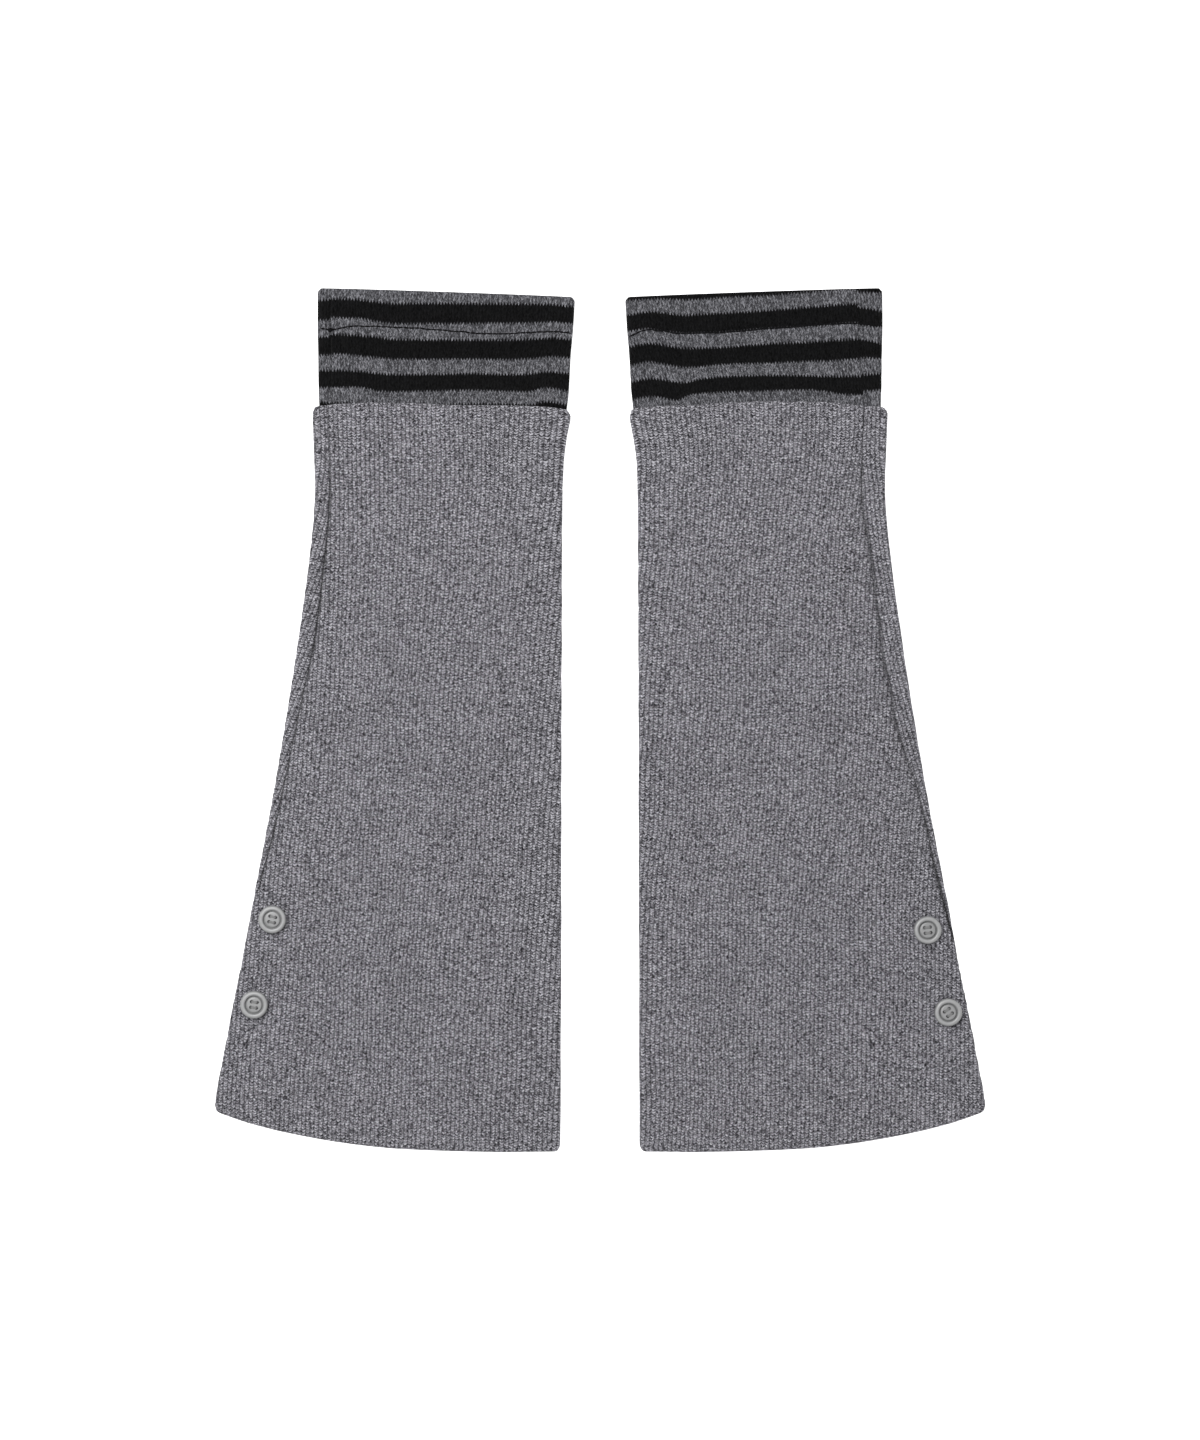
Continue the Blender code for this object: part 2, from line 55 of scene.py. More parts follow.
def curveThrough(table):  # a smooth curve through rows of (place, value), straight beyond its ends
    places = [row[0] for row in table]
    values = [row[1] for row in table]
    last = len(table) - 1
    slopes = []
    for n in range(last + 1):
        before, after = max(n - 1, 0), min(n + 1, last)
        slopes.append((values[after] - values[before]) / (places[after] - places[before]))

    def curve(at):
        if at <= places[0]:
            return values[0] + slopes[0] * (at - places[0])
        if at >= places[last]:
            return values[last] + slopes[last] * (at - places[last])
        n = bisect.bisect_right(places, at) - 1
        span = places[n + 1] - places[n]
        t = (at - places[n]) / span
        step = (values[n + 1] - values[n]) * t * t * (3 - 2 * t)
        return values[n] + step + span * t * (1 - t) * (slopes[n] * (1 - t) - slopes[n + 1] * t)

    return curve


def columnCurves(table):  # a curve for each column after the first, which holds the place
    return [curveThrough([(row[0], row[n]) for row in table]) for n in range(1, len(table[0]))]


def sampled(curve, low, high, step=0.5):  # the same curve read from a list, for speed
    count = int((high - low) / step) + 1
    values = [curve(low + n * step) for n in range(count + 1)]

    def reading(at):
        place = min(max((at - low) / step, 0.0), count - 0.001)
        n = int(place)
        return values[n] + (values[n + 1] - values[n]) * (place - n)

    return reading


def ease(low, high, at):  # 0 at low to 1 at high, with a soft start and end
    t = min(max((at - low) / (high - low), 0.0), 1.0)
    return t * t * (3 - 2 * t)


def mix(start, end, share):
    return start + (end - start) * share


def rounded(u, v, corners):  # brings a point near a corner inside that corner's arc
    for corner in corners:
        cornerU, cornerV, radius, wayU, wayV = corner
        across = radius - (u - cornerU) * wayU
        up = radius - (v - cornerV) * wayV
        if across > 0 and up > 0:
            pull = 1 - max(across, up) / math.hypot(across, up)
            u += wayU * across * pull
            v += wayV * up * pull
    return u, v


def creaseDepth(creases, u, v):  # rows: u, v of the middle, turn in degrees, length, width, depth
    total = 0.0
    for middleU, middleV, turn, length, width, depth in creases:
        if abs(u - middleU) + abs(v - middleV) > length + 4 * width:
            continue
        angle = math.radians(turn)
        east, north = u - middleU, v - middleV
        alongIt = east * math.cos(angle) + north * math.sin(angle)
        acrossIt = north * math.cos(angle) - east * math.sin(angle)
        total += depth * math.exp(-((acrossIt / width) ** 2) - (2 * alongIt / length) ** 4)
    return total


def toWorld(side, u, v, z):
    return Vector((side * (pair["foldSpacing"] / 2 + u) * mm, (v - pair["length"] / 2) * mm, z * mm))


def newObject(name, mesh):  # puts a finished bmesh into the scene
    data = bpy.data.meshes.new(name)
    mesh.to_mesh(data)
    mesh.free()
    made = bpy.data.objects.new(name, data)
    bpy.context.scene.collection.objects.link(made)
    return made


def newPiece(name, mesh, materials):
    piece = newObject(name, mesh)
    for material in materials:
        piece.data.materials.append(material)
    piece.data.shade_smooth()
    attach(piece, "root")
    return piece


def innerSkin(mesh):  # doubles the cloth's skin and gives the new vertices, which become its inside
    made = bmesh.ops.extrude_face_region(mesh, geom=mesh.faces[:], use_keep_orig=True)
    return [item for item in made["geom"] if isinstance(item, bmesh.types.BMVert)]


def faceOutwards(mesh):
    bmesh.ops.recalc_face_normals(mesh, faces=mesh.faces)
    if mesh.calc_volume(signed=True) < 0:
        bmesh.ops.reverse_faces(mesh, faces=mesh.faces)


def addKnitMap(mesh, spot):  # a UV map whose x counts ribs or wales and whose y counts courses
    knit = mesh.loops.layers.uv.new("knit")
    for face in mesh.faces:
        for loop in face.loops:
            loop[knit].uv = spot(loop.vert)


# The rib-knit body
ribBody = {
    "length": 374.0,
    "wall": 1.6,  # of the knit between its ribs
    "layerGap": 0.4,  # between the two layers where they lie on each other
    "ribRaise": 0.4,
    "undersideRaise": 0.3,  # the ribs under the back are pressed a little flat
    "ribUneven": (0.35, 0.5, 0.06),  # share by which a rib's height varies, how fast across and along
    "courseHeight": 1.36,
    "columnsPerRib": 4,
    "ribProfile": (0.0, 0.82, 1.0, 0.82),  # height over a valley, as a share of the raise
    "rowHeight": 5.6,
    "mostColumns": 600,  # on either side of the inner fold
    "edgeRows": (0.5, 1.6, 3.2),  # rows close to an edge, which is rounded
    "edgeSoft": 0.5,  # how far an edge comes in from the front
    "undersideSoft": 0.4,  # from the underside
    "insideSoft": 0.25,  # and from within
    "weld": 0.02,
    "seamSoft": (345.0, 325.0),  # the seam's edges roll in below here
    "seamDipWidth": 1.1,
    "seamDipUneven": (0.9, 0.14),  # share by which the seam's depth varies, and how fast
    "seamShadeWidth": 0.45,
    "puff": 1.6,  # how far the front stands off the back
    "puffStart": 2.2,  # u from which it rises at the inner fold
    "puffSlope": 26.0,  # width of the rise from a pressed edge
    "puffHem": (0.0, 40.0),  # v over which it rises from the hem
    "puffTop": (285.0, 330.0),  # and over which it falls towards the band
    "pressedTo": -0.3,  # as low as a crease or a button presses the front
    "pressed": (6.5, 14.0),  # from a button's middle, where the cloth is drawn down under it
    "waver": 1.2,  # how far a rib strays from its line
    "waverLength": 36.0,
    "waverSettle": 25.0,  # it dies out this close to the seam
    "gather": (  # u, how far the ribs are drawn to the fold
        (0.0, 0.0), (20.0, -2.4), (50.0, -2.8), (105.0, -2.2), (180.0, -2.2),
    ),
    "leanAt": (15.0, 60.0, 105.0),  # u of the columns of the lean tables
    "leanBlend": 10.0,
    "hemFade": 250.0,  # rows follow the hem's curve less and less up to here
    "topCurve": 330.0,  # and the top edge's curve from here
    "climb": (328.0, 350.0),  # the front rises over the band
    "straightFrom": 335.5,  # above here the outer side flares instead of slanting
    "flareReach": 45.0,  # how far from the side the flare is felt
    "backCreaseEnd": 8.0,  # the back's creases end this far from the bend
    "outerSide": (  # v, u
        (0.0, 177.5), (23.5, 173.4), (55.5, 167.5), (95.5, 159.6), (115.5, 155.9), (135.5, 152.0),
        (175.5, 144.4), (215.5, 137.6), (255.5, 131.4), (295.5, 125.9), (325.5, 123.1), (345.5, 123.2),
        (365.5, 124.0), (374.0, 124.5),
    ),
    "innerSide": (  # v, u
        (0.0, -0.2), (50.0, -0.4), (110.0, -0.6), (200.0, -0.7), (260.0, -0.9), (315.0, -1.1),
        (335.5, -1.5), (345.5, -1.9), (355.5, -3.3), (365.5, -5.2), (374.0, -5.7),
    ),
    "hem": (  # u, rise
        (0.0, -0.1), (20.0, -0.3), (30.0, -0.4), (65.0, 0.5), (89.0, 1.9), (113.0, 4.9), (137.0, 9.4),
        (155.0, 13.9), (167.0, 17.9), (176.0, 21.4),
    ),
    "corners": (  # u, v, radius, way inwards across and up
        (174.0, 20.6, 4.0, -1, 1),
        (-0.2, -0.1, 3.5, 1, 1),
        (124.5, 372.4, 4.0, -1, -1),
        (-5.7, 370.8, 4.0, 1, -1),
    ),
    "flat": (0.353, 0.374),  # the cut, in metres
    "flatArea": 0.1059,
    "left": {
        "buttons": ("left_button_upper", "left_button_lower"),
        "waverSeed": 12,
        "seam": (  # v, u of the side seam, where it has rolled to the front
            (125.0, 153.0), (136.5, 149.5), (161.0, 143.0), (184.5, 137.9), (229.5, 128.5), (254.0, 123.1),
            (276.5, 120.1), (291.5, 118.5), (306.5, 116.8), (321.0, 115.7), (336.0, 115.3), (374.0, 115.3),
        ),
        "top": (  # u, v of the top edge
            (-5.7, 370.2), (2.5, 371.1), (10.0, 372.2), (30.0, 373.0), (52.0, 373.1), (75.0, 374.0),
            (95.0, 374.3), (110.0, 373.7), (117.0, 372.9), (124.0, 372.5),
        ),
        "lean": (  # v, how far outwards the ribs have leant since the top, at each of leanAt
            (0.0, 22.4, 21.8, 19.5),
            (44.0, 20.4, 20.2, 17.6),
            (92.0, 18.5, 18.1, 14.2),
            (140.0, 15.6, 13.9, 10.3),
            (188.0, 12.8, 10.2, 5.9),
            (236.0, 9.3, 6.6, 2.6),
            (284.0, 4.5, 2.5, 0.4),
            (330.0, 0.4, 0.1, 0.0),
            (374.0, 0.0, 0.0, 0.0),
        ),
        "ribPitch": 2.22,
        "seamDip": (  # v, depth
            (0.0, 0.1), (110.0, 0.2), (160.0, 0.6), (240.0, 0.7), (300.0, 0.9), (335.0, 0.6), (352.0, 0.15),
            (374.0, 0.1),
        ),
        "seamGap": (  # v, width
            (0.0, 0.05), (140.0, 0.2), (200.0, 0.1), (300.0, 0.25), (335.0, 0.2), (350.0, 0.02),
            (374.0, 0.02),
        ),
        "seamShade": (  # v, how much painted shade darkens the seam's line
            (0.0, 0.1), (110.0, 0.25), (135.0, 0.5), (160.0, 0.25), (235.0, 0.2), (255.0, 0.5),
            (320.0, 0.45), (345.0, 0.2), (374.0, 0.1),
        ),
        "creases": (  # u, v of the middle, turn, length, width, depth
            (103.0, 300.0, 75.0, 60.0, 9.0, 1.12),
            (132.0, 162.0, 40.0, 26.0, 7.0, 1.12),
            (60.0, 215.0, 84.0, 120.0, 16.0, 0.64),
            (102.0, 351.0, 6.0, 26.0, 5.0, 0.64),
            (55.0, 351.5, 0.0, 100.0, 3.5, 0.32),
            (133.0, 68.0, 20.0, 12.0, 4.0, 0.64),
            (131.0, 38.0, -10.0, 14.0, 4.0, 0.64),
            (38.0, 113.0, 60.0, 26.0, 8.0, 0.64),
            (14.0, 332.0, 70.0, 24.0, 6.0, 0.48),
        ),
        "backCreases": (
            (72.0, 236.0, 82.0, 140.0, 13.0, 0.5),
            (112.0, 112.0, 58.0, 74.0, 9.0, 0.5),
            (48.0, 58.0, 8.0, 66.0, 10.0, 0.4),
            (90.0, 318.0, 104.0, 40.0, 7.0, 0.35),
        ),
    },
    "right": {
        "buttons": ("right_button_upper", "right_button_lower"),
        "waverSeed": 16,
        "seam": (  # v, u
            (100.0, 158.7), (110.0, 155.9), (122.0, 152.8), (139.0, 148.4), (161.0, 143.8), (184.0, 138.2),
            (200.0, 132.3), (215.0, 128.2), (232.0, 125.4), (244.0, 122.6), (256.0, 121.0), (281.5, 117.8),
            (303.0, 115.0), (319.5, 112.0), (332.0, 111.0), (374.0, 111.0),
        ),
        "top": (  # u, v
            (-5.0, 370.9), (4.0, 371.7), (13.0, 372.6), (30.0, 373.2), (45.0, 374.4), (65.0, 375.0),
            (85.0, 374.9), (97.0, 374.3), (108.0, 372.9), (115.0, 372.4), (124.0, 372.0),
        ),
        "lean": (  # v, ribs' lean at each of leanAt
            (0.0, -16.5, -20.6, -19.6),
            (44.0, -15.6, -19.8, -18.9),
            (92.0, -14.9, -19.1, -18.7),
            (116.0, -14.2, -18.3, -18.5),
            (140.0, -12.3, -16.6, -17.5),
            (164.0, -10.4, -14.3, -15.4),
            (188.0, -9.0, -12.1, -12.9),
            (212.0, -7.8, -10.6, -11.1),
            (236.0, -6.4, -9.8, -10.1),
            (260.0, -4.9, -8.9, -9.5),
            (284.0, -3.0, -7.2, -8.4),
            (308.0, -1.1, -4.6, -6.3),
            (332.0, 0.0, -1.9, -3.2),
            (356.0, 0.0, 0.0, 0.0),
            (374.0, 0.0, 0.0, 0.0),
        ),
        "ribPitch": 2.14,
        "seamDip": (  # v, depth
            (0.0, 0.1), (105.0, 0.2), (135.0, 0.5), (170.0, 0.8), (215.0, 1.4), (300.0, 1.6), (335.0, 1.0),
            (355.0, 0.2), (374.0, 0.1),
        ),
        "seamGap": (  # v, width
            (0.0, 0.05), (92.0, 0.1), (102.0, 0.5), (140.0, 0.5), (160.0, 0.2), (195.0, 0.15), (210.0, 0.4),
            (225.0, 0.3), (300.0, 0.4), (335.0, 0.2), (350.0, 0.02), (374.0, 0.02),
        ),
        "seamShade": (  # v, how much painted shade darkens the seam's line
            (0.0, 0.1), (88.0, 0.3), (98.0, 0.85), (135.0, 0.7), (160.0, 0.3), (195.0, 0.25), (210.0, 0.55),
            (230.0, 0.35), (310.0, 0.4), (340.0, 0.25), (374.0, 0.1),
        ),
        "creases": (  # columns as above
            (112.0, 270.0, 105.0, 90.0, 8.0, 1.28),
            (128.0, 148.0, 115.0, 60.0, 8.0, 1.28),
            (85.0, 62.0, 8.0, 80.0, 14.0, 0.8),
            (90.0, 363.5, 0.0, 34.0, 3.5, 0.72),
            (98.0, 342.0, -44.0, 34.0, 5.0, 0.8),
            (40.0, 351.0, 1.0, 86.0, 3.5, 0.4),
            (76.0, 318.0, 20.0, 26.0, 6.0, 0.4),
            (30.0, 96.0, 85.0, 60.0, 10.0, 0.48),
        ),
        "backCreases": (
            (66.0, 252.0, 97.0, 120.0, 12.0, 0.5),
            (118.0, 128.0, 122.0, 66.0, 9.0, 0.5),
            (82.0, 48.0, -6.0, 78.0, 11.0, 0.4),
            (44.0, 326.0, 74.0, 44.0, 7.0, 0.35),
        ),
    },
}

bodyHeights = (0.0, ribBody["length"])  # from and to where a curve is sampled
pastBody = (-10.0, ribBody["length"] + 10.0)
bodyWidths = (-6.0, 178.0)
knitWidths = (0.0, 240.0)

outerSide = curveThrough(ribBody["outerSide"])
innerSide = sampled(curveThrough(ribBody["innerSide"]), *bodyHeights)
hemRise = sampled(curveThrough(ribBody["hem"]), *bodyWidths)
gather = sampled(curveThrough(ribBody["gather"]), *knitWidths)
slantedSide = sampled(lambda v: outerSide(min(v, ribBody["straightFrom"])), *pastBody)
flare = sampled(lambda v: max(outerSide(v) - outerSide(min(v, ribBody["straightFrom"])), 0.0), *bodyHeights)


def frontLevel(v):  # inside of the front layer, which climbs over the band's two layers
    flatLevel = ribBody["wall"] + ribBody["layerGap"]
    bandLayers = ribBody["wall"] + 3 * band["plyGap"] + 2 * band["wall"]
    return mix(flatLevel, bandLayers, ease(*ribBody["climb"], v))


def bendRadius(v):
    return (frontLevel(v) + ribBody["wall"]) / 2


class BodyMap:
    # Lays the flat knit round the leg warmer. s is the distance across the knit from the inner fold,
    # positive on the front and negative on the back, whose outer part rolls over the slanted side on
    # to the front.
    def __init__(self, sizes):
        self.sizes = sizes
        self.startRadius = bendRadius(0.0)
        self.turn = math.pi * self.startRadius  # of knit taken up by a bend
        self.bendLine = sampled(lambda v: slantedSide(v) - ribBody["ribRaise"] - bendRadius(v), *pastBody)
        self.slope = sampled(
            lambda v: (self.bendLine(v + 2) - self.bendLine(v - 2)) / 4, pastBody[0] + 2, pastBody[1] - 2
        )
        seamCurve = curveThrough(sizes["seam"])
        seamStart = sizes["seam"][0][0]
        self.seamLine = sampled(
            lambda v: min(seamCurve(v), slantedSide(v)) if v > seamStart else slantedSide(v), *bodyHeights
        )
        self.seamDip, self.seamGap, self.seamShade = (
            sampled(curveThrough(sizes[kind]), *bodyHeights) for kind in ("seamDip", "seamGap", "seamShade")
        )
        self.seamFront = sampled(lambda v: self.seamAcross(1, v), *bodyHeights)
        self.seamBack = sampled(lambda v: self.seamAcross(-1, v), *bodyHeights)
        self.topEdge = sampled(curveThrough(sizes["top"]), *bodyWidths)
        self.lean = [sampled(curve, *bodyHeights) for curve in columnCurves(sizes["lean"])]
        self.buttonPlaces = [buttons["places"][node][:2] for node in sizes["buttons"]]

    def flatPlace(self, s):
        return abs(s) - self.turn / 2 + self.startRadius + ribBody["ribRaise"]

    def rowPlace(self, s, row):  # height of a row of the knit at a place across it
        u = min(max(self.flatPlace(s), 0.0), ribBody["outerSide"][0][1])
        widest = slantedSide(ribBody["length"])
        if s < 0 and u > widest and row > ribBody["topCurve"]:
            u = 2 * widest - u
        low = hemRise(u) * max(0.0, 1 - row / ribBody["hemFade"])
        high = max(0.0, (row - ribBody["topCurve"]) / (ribBody["length"] - ribBody["topCurve"]))
        return row + low + (self.topEdge(u) - ribBody["length"]) * high

    def shiftAt(self, s, v):  # how far the wale lying here has strayed from where it set out at the top
        inner, middle, outer = (curve(v) for curve in self.lean)
        first, second, third = ribBody["leanAt"]
        blend, length = ribBody["leanBlend"], ribBody["waverLength"]
        shift = mix(inner, middle, ease(first - blend, second, s))
        shift += (outer - middle) * ease(second, third + blend, s)
        shift += math.copysign(gather(abs(s)), s)
        waver = noise.noise(Vector((s / length, v / length, self.sizes["waverSeed"])))
        return shift + ribBody["waver"] * waver * ease(0.0, ribBody["waverSettle"], self.roomToSeam(s, v))

    def strayed(self, wale, row):  # wale, place across and height of a spot of the knit, not past the seam
        v = row
        for _ in range(2):  # place and height hang on each other, and settle in a few rounds
            s = wale
            for _ in range(3):
                s = wale + self.shiftAt(s, v)
            atSeam = self.roomToSeam(s, v) <= 0
            if atSeam:
                s = math.copysign(self.knitEnd(s, v), s)
            v = self.rowPlace(s, row)
        if atSeam:
            s = math.copysign(self.knitEnd(s, v), s)
            wale = s - self.shiftAt(s, v)
        return wale, s, v, atSeam

    def seamTurn(self, v):  # distance from the back's bend line round to the seam
        room = self.bendLine(v) - self.seamLine(v)
        if room >= 0:
            return self.turn + room / math.hypot(1.0, self.slope(v))
        return self.startRadius * (math.pi - math.asin(min(1.0, -room / bendRadius(v))))

    def seamAcross(self, way, v):  # where the seam cuts the knit's front (1) or back (-1)
        lean = 1 / math.hypot(1.0, self.slope(v))
        if way > 0:
            past = self.turn - self.seamTurn(v) - self.seamGap(v) / 2
        else:
            past = self.seamTurn(v)
            for _ in range(4):
                seen = v + self.slope(v) * lean * max(2 * past - self.turn, 0.0) if past > self.turn else v
                past = self.seamTurn(max(seen, 0.0)) - self.seamGap(v) / 2
        return self.bendLine(v) + past / lean + self.turn / 2 - self.startRadius - ribBody["ribRaise"]

    def knitEnd(self, s, v):  # how far from the inner fold the knit ends, on the side where s lies
        return self.seamFront(v) if s > 0 else self.seamBack(v)

    def roomToSeam(self, s, v):  # what is left of the knit before the seam
        return self.knitEnd(s, v) - abs(s)

    def puff(self, u, v):  # how far the front stands off the back
        flatEnd = min(self.bendLine(v), self.seamLine(v))
        slope, lowest = ribBody["puffSlope"], ribBody["pressedTo"]
        rise = ribBody["puff"] * ease(0, slope, u - ribBody["puffStart"]) * ease(0, slope, flatEnd - u)
        rise *= ease(*ribBody["puffHem"], v) * (1 - ease(*ribBody["puffTop"], v))
        rise = max(rise - creaseDepth(self.sizes["creases"], u, v), lowest)
        near = min(math.hypot(u - place[0], v - place[1]) for place in self.buttonPlaces)
        return mix(lowest, rise, ease(*ribBody["pressed"], near))

    def place(self, s, v, over):
        # over(share) is the height over the cloth's own level, for share 0 on the back to 1 on the front
        radius = bendRadius(v)
        slope = self.slope(v)
        lean = 1 / math.hypot(1.0, slope)
        if abs(s) < self.turn / 2:
            angle = s / self.startRadius
            reach = radius + over(ease(-math.pi / 2, 0.0, angle))
            u = innerSide(v) + ribBody["ribRaise"] + radius - reach * math.cos(angle)
            return u, v, radius + reach * math.sin(angle)
        flat = self.flatPlace(s)
        past = (flat - self.bendLine(v)) * lean
        fade = max(0.0, 1 - (abs(s) - self.turn / 2) / ribBody["flareReach"])
        if past <= 0:
            u = flat + (radius - self.startRadius + innerSide(v)) * fade
            u += flare(v) * max(0.0, 1 - (slantedSide(v) - u) / ribBody["flareReach"])
            if s > 0:
                return u, v, 2 * radius + over(1.0) + self.puff(u, v)
            ending = 1 - ease(-ribBody["backCreaseEnd"], 0.0, past)
            return u, v, creaseDepth(self.sizes["backCreases"], u, v) * ending - over(0.0)
        footU, footV = flat - past * lean, v + slope * lean * past
        if past <= self.turn:
            angle = past / self.startRadius
            share = ease(0.0, math.pi / 2, angle) if s < 0 else 1.0
            reach = radius + over(share)
            z = radius - reach * math.cos(angle) if s < 0 else radius + reach * math.cos(angle)
            outwards = reach * math.sin(angle)
        else:
            outwards = self.turn - past
            z = 2 * radius + over(1.0)
        return footU + lean * outwards + flare(v), footV - slope * lean * outwards, z


def ribCrown(column):  # height of the knit between two valleys
    n = math.floor(column)
    profile = ribBody["ribProfile"]
    return mix(profile[n % len(profile)], profile[(n + 1) % len(profile)], column - n)


def makeBody(name, side, sizes, material):
    shape = BodyMap(sizes)
    spacing = sizes["ribPitch"] / ribBody["columnsPerRib"]
    most = ribBody["mostColumns"]
    first = next(n for n in range(0, -most, -1) if shape.strayed(n * spacing, 0.0)[3])
    last = next(n for n in range(most) if shape.strayed(n * spacing, 0.0)[3])
    length = ribBody["length"]
    count = round(length / ribBody["rowHeight"])
    heights = [0.0, *ribBody["edgeRows"]]
    heights += [length * n / count for n in range(1, count)]
    heights += [length - row for row in reversed(ribBody["edgeRows"])] + [length]
    columns, rows = last - first, len(heights) - 1

    mesh = bmesh.new()
    bmesh.ops.create_grid(mesh, x_segments=columns, y_segments=rows, size=0.5)
    waleLayer = mesh.verts.layers.float.new("wale")  # the wale, and where it is across the knit
    acrossLayer = mesh.verts.layers.float.new("across")
    courseLayer = mesh.verts.layers.float.new("course")
    softLayer = mesh.verts.layers.float.new("soft")
    shadeLayer = mesh.verts.layers.float.new("seamShade")

    def outsideOf(vert):
        wale, s, v, soft = vert[waleLayer], vert[acrossLayer], vert[courseLayer], vert[softLayer]
        amount, across, along = ribBody["ribUneven"]
        uneven = 1 + amount * noise.noise(Vector((wale * across, v * along, 3.0)))
        crown = ribCrown(wale / spacing) * uneven
        room = max(shape.roomToSeam(s, v), 0.0)
        amount, along = ribBody["seamDipUneven"]
        uneven = 1 + amount * noise.noise(Vector((7.0, v * along, 5.0)))
        dip = shape.seamDip(v) * uneven * math.exp(-((room / ribBody["seamDipWidth"]) ** 2))
        lower = dip + ribBody["edgeSoft"] * soft

        def over(share):
            pressed = -ribBody["undersideRaise"] * (1 - crown) - ribBody["undersideSoft"] * soft
            return mix(pressed, ribBody["ribRaise"] * crown - lower, share)

        return over

    def settle(vert, over):
        u, up, z = shape.place(vert[acrossLayer], vert[courseLayer], over)
        u, up = rounded(u, up, ribBody["corners"])
        vert.co = toWorld(side, u, up, z)

    for vert in mesh.verts:
        wale = (first + round((vert.co.x + 0.5) * columns)) * spacing
        k = round((vert.co.y + 0.5) * rows)
        vert[waleLayer], vert[acrossLayer], v, atSeam = shape.strayed(wale, heights[k])
        vert[courseLayer] = v
        vert[softLayer] = 1.0 if k in (0, rows) else ease(*ribBody["seamSoft"], v) if atSeam else 0.0
        room = max(shape.roomToSeam(vert[acrossLayer], v), 0.0)
        # painted shade along the seam, darkest at the seam's edge, kept in the seamShade attribute
        vert[shadeLayer] = shape.seamShade(v) * math.exp(-((room / ribBody["seamShadeWidth"]) ** 2))
    for vert in mesh.verts:
        settle(vert, outsideOf(vert))
    bmesh.ops.remove_doubles(mesh, verts=mesh.verts, dist=ribBody["weld"] * mm)

    for vert in innerSkin(mesh):
        tuck = ribBody["insideSoft"] * vert[softLayer]
        settle(vert, lambda share: -ribBody["wall"] + tuck)
    faceOutwards(mesh)
    pitch, height = sizes["ribPitch"], ribBody["courseHeight"]
    addKnitMap(mesh, lambda vert: (vert[waleLayer] / pitch, vert[courseLayer] / height))
    piece = newPiece(name, mesh, [material])
    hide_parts(name.replace("Body", "_body"))
    print(f"{name}: {len(piece.data.polygons)} faces, {columns} columns")
    return shape


